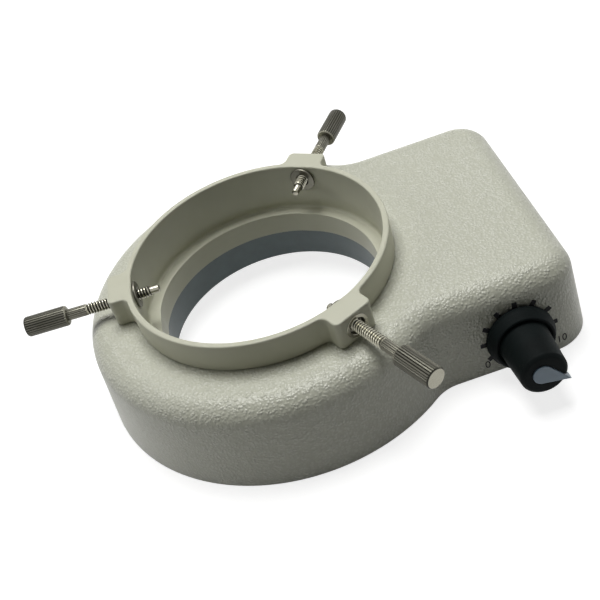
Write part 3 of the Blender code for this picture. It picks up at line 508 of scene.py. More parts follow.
DIAL = (Matrix.Translation((DIAL_X, DIAL_Z * math.tan(DRAFT) - BOX_HALF_WIDTH, DIAL_Z))
        @ Matrix.Rotation(math.pi / 2 - DRAFT, 4, "X"))
JACK = (Matrix.Translation((BOX_END_X - JACK_Z * math.tan(DRAFT), JACK_Y, JACK_Z))
        @ Matrix.Rotation(math.pi / 2 - DRAFT, 4, "Y"))


def box_corners(half, corner, steps):
    """The box's two rounded corners and the flat end between them."""
    corner_x = BOX_END_X - BOX_CORNER_R
    corner_y = BOX_HALF_WIDTH - BOX_CORNER_R
    points = arc((corner_x, -corner_y), corner, -math.pi / 2, 0, steps)
    points.append((corner_x + corner, -corner_y))
    points += arc((corner_x, corner_y), corner, 0, math.pi / 2, steps)
    points.append((corner_x, half))
    return points


def body_outline(inset):
    ring = RING_R - inset
    half = BOX_HALF_WIDTH - inset
    flare = FLARE_R + inset
    flare_y = half + flare
    flare_x = math.sqrt((ring + flare) ** 2 - flare_y ** 2)
    meet = math.atan2(flare_y, flare_x)
    points = arc((0, 0), ring, meet, math.tau - meet, 150)
    points += arc((flare_x, -flare_y), flare, math.pi - meet, math.pi / 2, 16)
    points.append((flare_x, -half))
    points += box_corners(half, BOX_CORNER_R - inset, 18)
    points += arc((flare_x, flare_y), flare, -math.pi / 2, meet - math.pi, 16)
    return points


def box_outline(inset):
    """The box's cavity, behind the curved partition."""
    half = BOX_HALF_WIDTH - inset
    meet = math.asin(half / PARTITION_R)
    points = arc((0, 0), PARTITION_R, meet, -meet, 40)
    points.append((PARTITION_R * math.cos(meet), -half))
    return points + box_corners(half, BOX_CORNER_R - inset, 12)


def side_profile(thickness, height, edge_r, low_z, steps):
    """The drafted side and its rolled top edge, as (inset, height) points."""
    centre_z = height - edge_r
    centre_inset = thickness + centre_z * math.tan(DRAFT) + edge_r / math.cos(DRAFT)
    points = [(thickness + low_z * math.tan(DRAFT), low_z)]
    for index in range(steps + 1):
        angle = DRAFT + (math.pi / 2 - DRAFT) * index / steps
        points.append((centre_inset - edge_r * math.cos(angle),
                       centre_z + edge_r * math.sin(angle)))
    return points


def board_screw_places():
    return [polar(BOARD_SCREW_R, math.radians(BOARD_SCREW_DEGREES + 90 * index))
            for index in range(4)]


def sleeve_screw_places():
    return [polar(SLEEVE_SCREW_R, math.radians(SLEEVE_SCREW_DEGREES + 120 * index))
            for index in range(3)]


def cover_screw_places():
    return [Vector((x, side * COVER_SCREW_Y, 0)) for x in COVER_SCREW_X for side in (-1, 1)]


def driver_screw_places():
    return [Vector(place) for place in DRIVER_SCREWS]


def build_housing():
    sides = side_profile(0, BODY_HEIGHT, TOP_EDGE_R, FOOT_EDGE_Z, 14)
    loops = [at_height(body_outline(inset), z) for inset, z in FOOT_EDGE + sides]
    loops.append(at_height(body_outline(sides[-1][0] + TOP_MARGIN), BODY_HEIGHT))
    bm = bmesh.new()
    add_loft(bm, loops)
    housing = finish_mesh("housing_shell", bm, PAINT)

    cavity = side_profile(SIDE_WALL, CEILING_Z, CAVITY_EDGE_R, -OVERRUN, 8)
    profile = [(0, -OVERRUN)] + [(RING_R - inset, z) for inset, z in cavity]
    profile += [(NECK_R, CEILING_Z), (NECK_R, BARREL_Z), (HOUSING_BORE_R, BARREL_Z)]
    profile += [(HOUSING_BORE_R, BODY_HEIGHT + OVERRUN), (0, BODY_HEIGHT + OVERRUN)]
    ring = bmesh.new()
    add_turned(ring, profile, 144)
    box = bmesh.new()
    add_loft(box, [at_height(box_outline(inset), z) for inset, z in cavity])

    posts = bmesh.new()
    holes = bmesh.new()
    for places, seat_z, hole_r, hole_top in (
            (board_screw_places(), BOARD_TOP_Z, POST_HOLE_R, BOARD_TOP_Z + POST_HOLE_DEPTH),
            (cover_screw_places(), COVER_SEAT_Z, COVER_HOLE_R, COVER_HOLE_TOP_Z),
            (driver_screw_places(), DRIVER_TOP_Z, POST_HOLE_R, DRIVER_TOP_Z + POST_HOLE_DEPTH)):
        for place in places:
            add_rod(posts, place, POST_R, seat_z + GAP, CEILING_Z + POST_ROOT)
            add_rod(holes, place, hole_r, seat_z, hole_top)
    corners = rectangle(*LEAD_SLOT_X, *LEAD_SLOT_Y)
    add_loft(holes, [at_height(corners, z) for z in LEAD_SLOT_Z])

    dial = bmesh.new()
    add_rod(dial, (0, 0, 0), DIAL_HOLE_R, -SIDE_WALL - OVERRUN, OVERRUN)
    jack = bmesh.new()
    add_rod(jack, (0, 0, 0), JACK_HOLE_R, -SIDE_WALL - OVERRUN, OVERRUN)
    carve(housing, [("DIFFERENCE", ring, None), ("DIFFERENCE", box, None),
                    ("UNION", posts, None), ("DIFFERENCE", holes, None),
                    ("DIFFERENCE", dial, DIAL), ("DIFFERENCE", jack, JACK)])
    place_piece(housing, "body", "wrinkle_paint", "housing")


# Collar

INSERT_HOLE_R = 0.0029
INSERT_HOLE_START = 0.0295
# How far from an edge a loop lies that keeps the wall beside it flat
EDGE_SUPPORT = 0.0003
COLLAR_EDGE_STEPS = 5


def boss_outline(grow):
    """The collar's outline with its three bosses. Grow moves it outwards."""
    round_r = COLLAR_R + grow
    half = BOSS_HALF_WIDTH + grow
    face = BOSS_FACE_R + grow
    corner = BOSS_CORNER_R + grow
    root = BOSS_ROOT_R - grow
    root_y = half + root
    root_x = math.sqrt((round_r + root) ** 2 - root_y ** 2)
    root_angle = math.atan2(root_y, root_x)
    corner_x = face - corner
    corner_y = half - corner
    side = arc((root_x, -root_y), root, math.pi - root_angle, math.pi / 2, 9)
    side.append((root_x, -half))
    side += arc((corner_x, -corner_y), corner, -math.pi / 2, 0, 9)
    side.append((face, -corner_y))
    boss = side + [(x, -y) for x, y in reversed(side)]
    points = []
    for index in range(3):
        angle = math.radians(CLAMP_DEGREES["a"] + 120 * index)
        points += turned(boss, angle)
        points += arc((0, 0), round_r, angle + root_angle,
                      angle + math.tau / 3 - root_angle, 48)[1:]
    return points


def to_radius(points, radius):
    return [tuple(Vector(point).normalized() * radius) for point in points]


def build_collar():
    full = boss_outline(0)
    foot_z = BODY_HEIGHT + GAP
    loops = [at_height(to_radius(full, BARREL_R), BARREL_Z),
             at_height(to_radius(full, BARREL_R), foot_z),
             at_height(full, foot_z),
             at_height(full, foot_z + EDGE_SUPPORT),
             at_height(full, COLLAR_TOP_Z - COLLAR_EDGE - EDGE_SUPPORT)]
    for index in range(COLLAR_EDGE_STEPS + 1):
        angle = math.pi / 2 * index / COLLAR_EDGE_STEPS
        loops.append(at_height(boss_outline(-COLLAR_EDGE * (1 - math.cos(angle))),
                               COLLAR_TOP_Z - COLLAR_EDGE * (1 - math.sin(angle))))
    for index in range(COLLAR_EDGE_STEPS + 1):
        angle = math.pi / 2 * (1 - index / COLLAR_EDGE_STEPS)
        radius = COLLAR_BORE_R + COLLAR_EDGE * (1 - math.cos(angle))
        loops.append(at_height(to_radius(full, radius),
                               COLLAR_TOP_Z - COLLAR_EDGE * (1 - math.sin(angle))))
    ledge = [(COLLAR_BORE_R, LEDGE_Z + 0.0009), (COLLAR_BORE_R - 0.00012, LEDGE_Z + 0.0004),
             (COLLAR_BORE_R - 0.0004, LEDGE_Z + 0.0001), (COLLAR_BORE_R - 0.0009, LEDGE_Z),
             (THROAT_R + 0.0004, LEDGE_Z), (THROAT_R + 0.0001, LEDGE_Z - 0.0001),
             (THROAT_R, LEDGE_Z - 0.0004), (THROAT_R, BARREL_Z)]
    loops += [at_height(to_radius(full, radius), z) for radius, z in ledge]
    bm = bmesh.new()
    add_loft(bm, loops, closed=True)
    collar = finish_mesh("collar_ring", bm, COLLAR_PAINT)
    cutters = []
    for degrees in CLAMP_DEGREES.values():
        hole = bmesh.new()
        add_rod(hole, (0, 0, 0), INSERT_HOLE_R, INSERT_HOLE_START, BOSS_FACE_R + OVERRUN, 48)
        cutters.append(("DIFFERENCE", hole, clamp_matrix(degrees)))
    screws = bmesh.new()
    for place in sleeve_screw_places():
        add_rod(screws, place, SLEEVE_HOLE_R, BARREL_Z - OVERRUN, BARREL_Z + SLEEVE_HOLE_DEPTH)
    cutters.append(("DIFFERENCE", screws, None))
    carve(collar, cutters)
    place_piece(collar, "body", "smooth_paint", "collar")


def clamp_matrix(degrees):
    """Local Z runs outwards along a clamp screw's axis."""
    return (Matrix.Translation((0, 0, CLAMP_Z))
            @ Matrix.Rotation(math.radians(degrees), 4, "Z")
            @ Matrix.Rotation(math.pi / 2, 4, "Y"))


# Thread inserts

INSERT_BORE_R = 0.00156
INSERT_BODY_R = 0.0028
INSERT_RIM_R = 0.0035
INSERT_RIM_WIDTH = 0.0004
INSERT_END = BOSS_FACE_R - 0.0015
LIP_INNER_R = 0.0022
LIP_OUTER_R = 0.0031
LIP_SEAT = BOSS_FACE_R + 0.00002
LIP_FACE = BOSS_FACE_R + 0.00024
LIP_EDGE = 0.00008
LIP_POLISH = 0.46
INSERT_POLISH = 0.22


def build_insert(letter):
    back = math.sqrt(COLLAR_BORE_R ** 2 - INSERT_RIM_R ** 2) - GAP
    front = back - INSERT_RIM_WIDTH
    profile = [(INSERT_BORE_R + 0.0003, front), (INSERT_RIM_R - 0.00022, front),
               (INSERT_RIM_R - 0.00007, front + 0.00006), (INSERT_RIM_R, front + 0.0002),
               (INSERT_RIM_R, back), (0.0026, back), (INSERT_BODY_R, INSERT_END),
               (INSERT_BODY_R, LIP_SEAT), (LIP_OUTER_R, LIP_SEAT),
               (LIP_OUTER_R, LIP_FACE - LIP_EDGE), (LIP_OUTER_R - LIP_EDGE, LIP_FACE),
               (0.00232, LIP_FACE), (0.00224, LIP_FACE - LIP_EDGE),
               (LIP_INNER_R, INSERT_END + 0.0002), (INSERT_BORE_R + 0.0002, INSERT_END),
               (INSERT_BORE_R, INSERT_END - 0.0002), (INSERT_BORE_R, front + 0.0003)]
    bm = bmesh.new()
    polish = bm.verts.layers.float.new("polish")
    add_turned(bm, profile, 48)
    for vertex in bm.verts:
        vertex[polish] = LIP_POLISH if vertex.co.z > BOSS_FACE_R else INSERT_POLISH
    piece = finish_mesh("insert_" + letter, bm, NICKEL, clamp_matrix(CLAMP_DEGREES[letter]))
    place_piece(piece, "body", "nickel", "thread_insert_" + letter)


# Clamp screws. Heights run along the screw from the tip of its dog point.

DOG_R = 0.0010
THREAD_Z = 0.0022
SHANK_Z = THREAD_Z + 0.0179
HEAD_Z = SHANK_Z + 0.0047
END_Z = HEAD_Z + 0.0112
THREAD_ROOT_R = 0.00113
THREAD_CREST_R = 0.0015
THREAD_PITCH = 0.00075
THREAD_STEPS = 28
# One turn of the thread: how far along the pitch, and whether it is on the crest
THREAD_SHAPE = ((0.0, 0), (0.12, 0), (0.40, 1), (0.60, 1), (0.88, 0))
SHANK_R = 0.00148
SHANK_FLUTES = 18
SHANK_FLUTE_DEPTH = 0.00015
HEAD_R = 0.00265
HEAD_FLUTES = 26
HEAD_FLUTE_DEPTH = 0.00022
FLUTE_WIDTH = 0.42
FLUTE_STEEPNESS = 1.25
POINTS_PER_FLUTE = 8


def add_thread(bm, low_z, high_z):
    """A screw thread as one helical sheet. It fades out over one pitch at both ends."""
    rise = THREAD_CREST_R - THREAD_ROOT_R
    turns = int((high_z - low_z) / THREAD_PITCH) + 3
    columns = []
    for i in range(THREAD_STEPS):
        column = []
        for turn in range(-2, turns):
            for share, crest in THREAD_SHAPE:
                z = low_z + THREAD_PITCH * (turn + share + i / THREAD_STEPS)
                fade = min(1.0, max(0.0, (z - low_z) / THREAD_PITCH),
                           max(0.0, (high_z - z) / THREAD_PITCH))
                column.append(polar(THREAD_ROOT_R + rise * crest * fade,
                                    math.tau * i / THREAD_STEPS,
                                    min(max(z, low_z), high_z)))
        columns.append(column)
    rows = len(columns[0])
    per_turn = len(THREAD_SHAPE)
    verts = [[bm.verts.new(point) for point in column] for column in columns]
    for i in range(THREAD_STEPS):
        for k in range(rows - 1):
            if i + 1 < THREAD_STEPS:
                quad = (verts[i][k], verts[i + 1][k], verts[i + 1][k + 1], verts[i][k + 1])
            elif k + 1 + per_turn < rows:
                quad = (verts[i][k], verts[0][k + per_turn], verts[0][k + per_turn + 1],
                        verts[i][k + 1])
            else:
                continue
            bm.faces.new(quad)
    tiny = 0.000002
    bmesh.ops.remove_doubles(bm, verts=bm.verts, dist=tiny)
    bmesh.ops.dissolve_degenerate(bm, edges=bm.edges, dist=tiny)


def fluted_loop(radius, z, depth, flutes):
    """A loop with round crests between V-shaped grooves."""
    total = flutes * POINTS_PER_FLUTE
    loop = []
    for i in range(total):
        angle = math.tau * i / total
        phase = (angle * flutes / math.tau) % 1.0
        groove = max(0.0, 1 - abs(phase - 0.5) / (FLUTE_WIDTH / 2))
        loop.append(polar(radius - depth * min(1.0, groove * FLUTE_STEEPNESS), angle, z))
    return loop


def screw_polish_and_shade(radius, z):
    """How bright the plating is: bright crests, with painted shade that darkens the grooves, the
    thread's roots and a rim round the end.
    """
    if z < THREAD_Z + 0.00005:
        return 0.50
    if z < SHANK_Z - 0.0005:
        crest = (radius - THREAD_ROOT_R) / (THREAD_CREST_R - THREAD_ROOT_R)
        return 0.03 + 0.69 * crest
    if radius < 0.0018:
        return 0.09 + 0.12 * (1 - (SHANK_R - radius) / SHANK_FLUTE_DEPTH)
    if z < HEAD_Z + 0.0003:
        return 0.32
    if z > END_Z - 0.00001:
        return 0.42
    if z > END_Z - 0.0003:
        return 0.02
    return 0.05 + 0.08 * (1 - (HEAD_R - radius) / HEAD_FLUTE_DEPTH)


def build_clamp_screw(letter):
    bm = bmesh.new()
    polish = bm.verts.layers.float.new("polish")
    tip = [(0, 0), (0.00072, 0), (0.00092, 0.00010), (DOG_R, 0.0003),
           (DOG_R, THREAD_Z - 0.0001), (0.00105, THREAD_Z),
           (THREAD_ROOT_R, THREAD_Z + 0.0002), (THREAD_ROOT_R, THREAD_Z + 0.0012),
           (0, THREAD_Z + 0.0012)]
    add_turned(bm, tip, 48)
    add_thread(bm, THREAD_Z, SHANK_Z - 0.0001)
    shank = ((THREAD_ROOT_R, SHANK_Z - 0.0009, 0), (0.00140, SHANK_Z - 0.0006, 0.00002),
             (SHANK_R, SHANK_Z - 0.0004, SHANK_FLUTE_DEPTH),
             (SHANK_R, HEAD_Z - 0.0003, SHANK_FLUTE_DEPTH), (0.00138, HEAD_Z + 0.0002, 0.00002))
    add_loft(bm, [fluted_loop(*ring, SHANK_FLUTES) for ring in shank])
    head = ((0.00205, HEAD_Z, 0), (0.00232, HEAD_Z + 0.00005, 0.00002),
            (0.00252, HEAD_Z + 0.00022, 0.00008), (HEAD_R, HEAD_Z + 0.0005, HEAD_FLUTE_DEPTH),
            (HEAD_R, END_Z - 0.00050, HEAD_FLUTE_DEPTH), (0.00256, END_Z - 0.00024, 0.00014),
            (0.00244, END_Z - 0.00006, 0.00003), (0.00236, END_Z, 0), (0.00226, END_Z, 0))
    add_loft(bm, [fluted_loop(*ring, HEAD_FLUTES) for ring in head])
    # Each point's plating brightness, which holds painted shade in the grooves and at the
    # thread's roots.
    for vertex in bm.verts:
        bright = screw_polish_and_shade(math.hypot(vertex.co.x, vertex.co.y), vertex.co.z)
        vertex[polish] = min(1.0, max(0.02, bright))
    matrix = clamp_matrix(CLAMP_DEGREES[letter]) @ Matrix.Translation((0, 0, TIP_R[letter]))
    piece = finish_mesh("clamp_screw_piece_" + letter, bm, NICKEL, matrix, FLUTE_SHARP)
    place_piece(piece, "clamp_screw_" + letter, "nickel", "thumbscrew_" + letter)


# Sleeve

def build_sleeve():
    edge = 0.00018
    inner = edge * 0.3
    profile = [(SLEEVE_BORE_R, SLEEVE_Z + edge), (SLEEVE_BORE_R + inner, SLEEVE_Z + inner),
               (SLEEVE_BORE_R + edge, SLEEVE_Z), (SLEEVE_R - edge, SLEEVE_Z),
               (SLEEVE_R - inner, SLEEVE_Z + inner), (SLEEVE_R, SLEEVE_Z + edge),
               (SLEEVE_R, FLANGE_Z), (FLANGE_R, FLANGE_Z), (FLANGE_R, FLANGE_TOP_Z),
               (SLEEVE_BORE_R, FLANGE_TOP_Z)]
    bm = bmesh.new()
    add_turned(bm, profile, 180)
    sleeve = finish_mesh("sleeve_tube", bm, SLEEVE)
    holes = bmesh.new()
    for place in sleeve_screw_places():
        add_rod(holes, place, SLEEVE_HOLE_R, FLANGE_Z - OVERRUN, FLANGE_TOP_Z + OVERRUN)
    carve(sleeve, [("DIFFERENCE", holes, None)])
    place_piece(sleeve, "body", "dark_sleeve", "inner_sleeve")


# Screws with cross recesses, all with their heads down

# A recess's arm width, its bottom's length and width, and its depth, as shares
RECESS_ARM = 0.24
RECESS_BOTTOM = (0.45, 0.6)
RECESS_DEPTH = 0.8
RECESS_OVERRUN = 0.0004
# How far the first recess is turned, and how much further each screw is, in radians
RECESS_TURN = 0.4
SCREW_TURN = 0.7


def cross_recess(place, radius, face_z, turn):
    """Two crossed cutters that narrow towards the bottom of the recess."""
    arm = radius * RECESS_ARM
    floor_x, floor_y = radius * RECESS_BOTTOM[0], arm * RECESS_BOTTOM[1]
    mouth = rectangle(-radius, radius, -arm, arm)
    floor = rectangle(-floor_x, floor_x, -floor_y, floor_y)
    cutters = []
    for quarter in (0.0, math.pi / 2):
        bm = bmesh.new()
        add_loft(bm, [at_height(mouth, face_z - RECESS_OVERRUN),
                      at_height(floor, face_z + radius * RECESS_DEPTH)])
        matrix = Matrix.Translation(place) @ Matrix.Rotation(quarter + RECESS_TURN, 4, "Z")
        cutters.append(("DIFFERENCE", bm, matrix @ Matrix.Rotation(turn, 4, "Z")))
    return cutters


def build_screws(name, profile, places, recess_r, face_z, node):
    """One screw at each place, each turned a little further than the one before."""
    for number, place in enumerate(places, 1):
        bm = bmesh.new()
        add_turned(bm, profile, 40, place)
        screw = finish_mesh(f"{name}_{number}", bm, ZINC)
        carve(screw, cross_recess(place, recess_r, face_z, SCREW_TURN * number))
        place_piece(screw, "body", "zinc_steel", f"{node}_{number}")


# Lamp board and lamps

BOARD_EDGE = 0.0001
PAN_HEAD_R = 0.0024
PAN_HEAD_THICKNESS = 0.0015
PAN_SHANK_R = 0.0013
PAN_GRIP = 0.0066
# Lamps in each row of a field, from the inner row outwards
LAMP_ROWS = (8, 9, 9, 10)
LAMP_R = 0.0015
LAMP_DOME = 0.0014
LAMP_DOME_Z = BOARD_Z - 0.0034
LAMP_FOOT_R = LAMP_R + 0.00018
LENS_SHARE = 0.98
# How far the first and the last row lie inside the board's edges
LAMP_MARGINS = (0.0028, 0.0024)


def lamp_places():
    first_r = BOARD_INNER_R + LAMP_MARGINS[0]
    last_r = BOARD_OUTER_R - LAMP_MARGINS[1]
    room = PAN_HEAD_R + LAMP_R + GAP
    places = []
    for field in range(4):
        middle = math.radians(BOARD_SCREW_DEGREES + 90 * field) + math.pi / 4
        for row, count in enumerate(LAMP_ROWS):
            row_r = first_r + (last_r - first_r) * row / 3
            half = math.pi / 4 - math.asin(room / row_r)
            for index in range(count):
                angle = middle - half + 2 * half * index / (count - 1)
                places.append(polar(row_r, angle))
    return places


def build_board():
    profile = [(BOARD_INNER_R, BOARD_Z + BOARD_EDGE), (BOARD_INNER_R + BOARD_EDGE, BOARD_Z),
               (BOARD_OUTER_R - BOARD_EDGE, BOARD_Z), (BOARD_OUTER_R, BOARD_Z + BOARD_EDGE),
               (BOARD_OUTER_R, BOARD_TOP_Z), (BOARD_INNER_R, BOARD_TOP_Z)]
    bm = bmesh.new()
    add_turned(bm, profile, 160)
    board = finish_mesh("lamp_board", bm, MASK)
    holes = bmesh.new()
    for place in board_screw_places():
        add_rod(holes, place, POST_HOLE_R, BOARD_Z - OVERRUN, BOARD_TOP_Z + OVERRUN)
    carve(board, [("DIFFERENCE", holes, None)])
    place_piece(board, "body", "white_laminate", "led_board")


def build_lamps():
    """Lenses that hang from the board, each with a metal cup and a phosphor die inside."""
    lens = [(0, LAMP_DOME_Z - LAMP_DOME)]
    for index in range(1, 6):
        angle = math.pi / 2 * index / 5
        lens.append((LAMP_R * math.sin(angle) * LENS_SHARE,
                     LAMP_DOME_Z - LAMP_DOME * math.cos(angle)))
    lens += [(LAMP_R * LENS_SHARE, BOARD_Z - 0.0009), (LAMP_FOOT_R, BOARD_Z - 0.00085),
             (LAMP_FOOT_R, BOARD_Z - 0.00005), (0, BOARD_Z - 0.00005)]
    cup = [(0.00030, BOARD_Z - 0.0022), (0.00062, BOARD_Z - 0.0030), (0.00078, BOARD_Z - 0.0030),
           (0.00050, BOARD_Z - 0.0012), (0.00020, BOARD_Z - 0.0003),
           (0.00005, BOARD_Z - 0.0003), (0.00005, BOARD_Z - 0.0022)]
    die = [(0, BOARD_Z - 0.00275), (0.00034, BOARD_Z - 0.00268), (0.00044, BOARD_Z - 0.00245),
           (0, BOARD_Z - 0.00225)]
    for name, profile, steps, finish, slot in (
            ("lamp_lenses", lens, 18, EPOXY, "white_plastic"),
            ("lamp_cups", cup, 12, CUP, "zinc_steel"),
            ("lamp_dies", die, 10, PHOSPHOR, "white_plastic")):
        bm = bmesh.new()
        for place in lamp_places():
            add_turned(bm, profile, steps, place)
        place_piece(finish_mesh(name, bm, finish), "body", slot)


def build_board_screws():
    """Pan-head screws under the lamp board."""
    seat = BOARD_Z - GAP
    face = seat - PAN_HEAD_THICKNESS
    # The head's curve, as shares of its radius and of its thickness
    curve = ((0.5, 0.02), (0.8, 0.14), (0.95, 0.36), (1, 0.62))
    profile = [(0, face)]
    profile += [(PAN_HEAD_R * x, face + PAN_HEAD_THICKNESS * y) for x, y in curve]
    profile += [(PAN_HEAD_R, seat), (PAN_SHANK_R, seat), (PAN_SHANK_R, BOARD_Z + PAN_GRIP),
                (0, BOARD_Z + PAN_GRIP)]
    build_screws("board_screw", profile, board_screw_places(), 0.0013, face, "led_board_screw")


def build_cover_screws():
    """Countersunk screws, a little inside the base cover's face."""
    face = 0.0004
    end = 0.0084
    head_r, edge_r, shank_r = 0.0027, 0.0028, 0.0014
    profile = [(0, face), (head_r, face), (edge_r, face + 0.0001), (shank_r, face + 0.0009),
               (shank_r, end), (0, end)]
    build_screws("cover_screw_piece", profile, cover_screw_places(), 0.0015, face, "cover_screw")


# Knob, pointer and dial. Local Z runs outwards from the box's wall.

KNOB_BACK = 0.0005
KNOB_END = KNOB_BACK + 0.0154
SKIRT_R = 0.0085
SKIRT_TOP_R = 0.0075
KNOB_WAIST_R = 0.0063
KNOB_NOSE_R = 0.0057
KNOB_FACE_R = 0.0050
KNOB_HOLLOW_R = 0.00550
SHAFT_HOLE_R = 0.00316
KNOB_ROUNDING = 0.00022
POINTER_R = 0.00245
POINTER_OFFSET = -0.0006
POINTER_REACH = 0.0068
# How far the tip moves where the sides move by one
POINTER_TIP_GROWTH = 2.2
POINTER_DEGREES = -30
POINTER_PROUD = 0.0004
POINTER_GAP = 0.00015
MARK_COUNT = 9
MARK_FIRST_DEGREES = 210
MARK_STEP_DEGREES = 30
MARK_R = (0.0081, 0.0098)
MARK_HALF_WIDTH = 0.00062
MARK_EDGE = 0.00012
MARK_Z = (-0.00002, 0.00006)
NUMBER_SIZE = 0.0030
NUMBER_DEPTH = 0.00003
NUMBERS = (("dial_number_low", "0", -0.0089, -0.0063),
           ("dial_number_high", "10", 0.0103, -0.0062))


def pointer_outline(grow):
    """A teardrop: a round end, and two straight sides that run out to the tip."""
    radius = POINTER_R + grow
    reach = POINTER_REACH - POINTER_OFFSET + grow * POINTER_TIP_GROWTH
    half = math.acos(radius / reach)
    points = arc((POINTER_OFFSET, 0), radius, half, math.tau - half, 40)
    points.append((POINTER_OFFSET + radius * math.cos(half), -radius * math.sin(half)))
    points.append((POINTER_OFFSET + reach, 0))
    return turned(points, math.radians(POINTER_DEGREES))


def build_knob():
    outer = [(KNOB_HOLLOW_R, KNOB_BACK), (SKIRT_R, KNOB_BACK), (SKIRT_R, KNOB_BACK + 0.0016),
             (SKIRT_TOP_R, KNOB_BACK + 0.0037), (0.0069, KNOB_BACK + 0.0037),
             (KNOB_WAIST_R, KNOB_BACK + 0.0028), (KNOB_NOSE_R, KNOB_END - 0.0007),
             (KNOB_FACE_R, KNOB_END), (0, KNOB_END)]
    inside = [(0, 0.0123), (SHAFT_HOLE_R, 0.0123), (SHAFT_HOLE_R, 0.0033),
              (KNOB_HOLLOW_R, 0.0033)]
    bm = bmesh.new()
    add_turned(bm, inside + rounded(outer, KNOB_ROUNDING, 3), 128)
    knob = finish_mesh("knob_piece", bm, KNOB, DIAL, KNOB_SHARP)
    pocket = bmesh.new()
    add_loft(pocket, [at_height(pointer_outline(POINTER_GAP), z)
                      for z in (KNOB_END - 0.0021, KNOB_END + OVERRUN)])
    carve(knob, [("DIFFERENCE", pocket, DIAL)], KNOB_SHARP)
    place_piece(knob, "dimmer_knob", "black_plastic", "knob")

    top = KNOB_END + POINTER_PROUD
    bm = bmesh.new()
    add_loft(bm, [at_height(pointer_outline(grow), z) for grow, z in (
        (0, KNOB_END - 0.0018), (0, top - 0.00016), (-0.00006, top - 0.00005),
        (-0.00018, top), (-0.00045, top))])
    place_piece(finish_mesh("pointer_piece", bm, POINTER, DIAL), "dimmer_knob",
                "white_plastic", "knob_pointer")


def wrap_corner(mesh):
    """Bend what is printed past the end of the flat wall round the box's corner."""
    start_x = BOX_END_X - BOX_CORNER_R
    centre_y = BOX_CORNER_R - BOX_HALF_WIDTH
    for vertex in mesh.vertices:
        place = vertex.co
        if place.x > start_x:
            reach = centre_y - place.y
            angle = (place.x - start_x) / (BOX_CORNER_R - place.z * math.tan(DRAFT))
            place.x = start_x + reach * math.sin(angle)
            place.y = centre_y - reach * math.cos(angle)


def build_dial():
    """Nine printed marks round the knob, and plain numbers at both ends of the scale."""
    near, far = MARK_R
    half, edge = MARK_HALF_WIDTH, MARK_EDGE
    inner = edge * 0.3
    shape = [(near, -half), (far - edge, -half), (far - inner, -half + inner),
             (far, -half + edge), (far, half - edge), (far - inner, half - inner),
             (far - edge, half), (near, half)]
    bm = bmesh.new()
    for index in range(MARK_COUNT):
        mark = turned(shape, math.radians(MARK_FIRST_DEGREES - MARK_STEP_DEGREES * index))
        add_loft(bm, [at_height(mark, z) for z in MARK_Z])
    marks = finish_mesh("dial_marks", bm, INK, DIAL, weighted=False)
    wrap_corner(marks.data)
    place_piece(marks, "body", "black_plastic")
    for name, words, x, y in NUMBERS:
        curve = bpy.data.curves.new(name, "FONT")
        curve.body = words
        curve.size = NUMBER_SIZE
        curve.align_x = "CENTER"
        curve.align_y = "CENTER"
        curve.extrude = NUMBER_DEPTH
        curve.resolution_u = 6
        text = link_object(name, curve)
        mesh = evaluated_mesh(text)
        bpy.data.objects.remove(text)
        mesh.transform(DIAL @ Matrix.Translation((x, y, NUMBER_DEPTH)))
        wrap_corner(mesh)
        mesh.materials.clear()
        mesh.materials.append(INK)
        place_piece(link_object(name, mesh), "body", "black_plastic")


# Power inlet. Local Z runs outwards from the box's end wall.

JACK_FACE = GAP + 0.0006
JACK_BACK = -0.0115
JACK_FLANGE_R = 0.0048
JACK_THREAD_R = 0.0039
JACK_BORE_R = 0.00275
JACK_PIN_HOLE_R = 0.00135
JACK_FLOOR = 0.0015
PIN_R = 0.00105
PIN_TOP = JACK_FACE - 0.0010
PIN_FOOT = JACK_BACK - 0.0015


def build_jack():
    outer = [(0.00285, JACK_FACE - 0.0004), (0.0031, JACK_FACE), (0.0046, JACK_FACE),
             (JACK_FLANGE_R, JACK_FACE - 0.0002), (JACK_FLANGE_R, GAP), (JACK_THREAD_R, GAP),
             (JACK_THREAD_R, JACK_BACK), (JACK_PIN_HOLE_R, JACK_BACK),
             (JACK_PIN_HOLE_R, JACK_BACK + JACK_FLOOR), (JACK_BORE_R, JACK_BACK + JACK_FLOOR),
             (JACK_BORE_R, JACK_FACE - 0.0006)]
    bm = bmesh.new()
    add_turned(bm, outer, 72)
    place_piece(finish_mesh("inlet_body", bm, BLACK, JACK), "body", "black_plastic",
                "power_jack")
    pin = [(0, PIN_FOOT), (PIN_R, PIN_FOOT), (PIN_R, PIN_TOP - 0.0004),
           (0.00095, PIN_TOP - 0.00012), (0.0007, PIN_TOP), (0, PIN_TOP)]
    bm = bmesh.new()
    add_turned(bm, pin, 32)
    place_piece(finish_mesh("inlet_pin", bm, CUP, JACK), "body", "nickel", "jack_pin")


build_housing()
build_collar()
for screw_letter in "abc":
    build_insert(screw_letter)
    build_clamp_screw(screw_letter)
build_sleeve()
build_board()
build_lamps()
build_board_screws()
build_cover_screws()
build_knob()
build_dial()
build_jack()

# The solids that stay, each with its own finish
NODE_FINISHES = {
    "base_cover": COVER,
    "capacitor": plastic("capacitor_sleeve", (36, 52, 96), (28, 42, 82), 0.35),
    "inductor": plastic("ferrite_core", (54, 52, 50), (42, 40, 39), 0.7, 900, 0.00004),
    "driver_board": GREEN,
    "driver_chip": BLACK,
    "terminal_block": plastic("terminal_plastic", (36, 96, 70), (30, 84, 60), 0.45),
    "potentiometer": ZINC,
    "pot_washer": ZINC,
    "pot_nut": ZINC,
    "pot_shaft": BLACK,
    "jack_nut": ZINC,
    "pot_lead": plastic("grey_lead", (112, 114, 116), (100, 102, 104), 0.5),
    "jack_lead": plastic("red_lead", (168, 34, 30), (150, 28, 26), 0.5),
    "lamp_lead": plastic("white_lead", (206, 206, 200), (190, 190, 184), 0.5),
}
NODE_FINISHES.update({f"driver_board_screw_{number}": ZINC for number in (1, 2)})
NODE_FINISHES.update({f"sleeve_screw_{number}": ZINC for number in (1, 2, 3)})
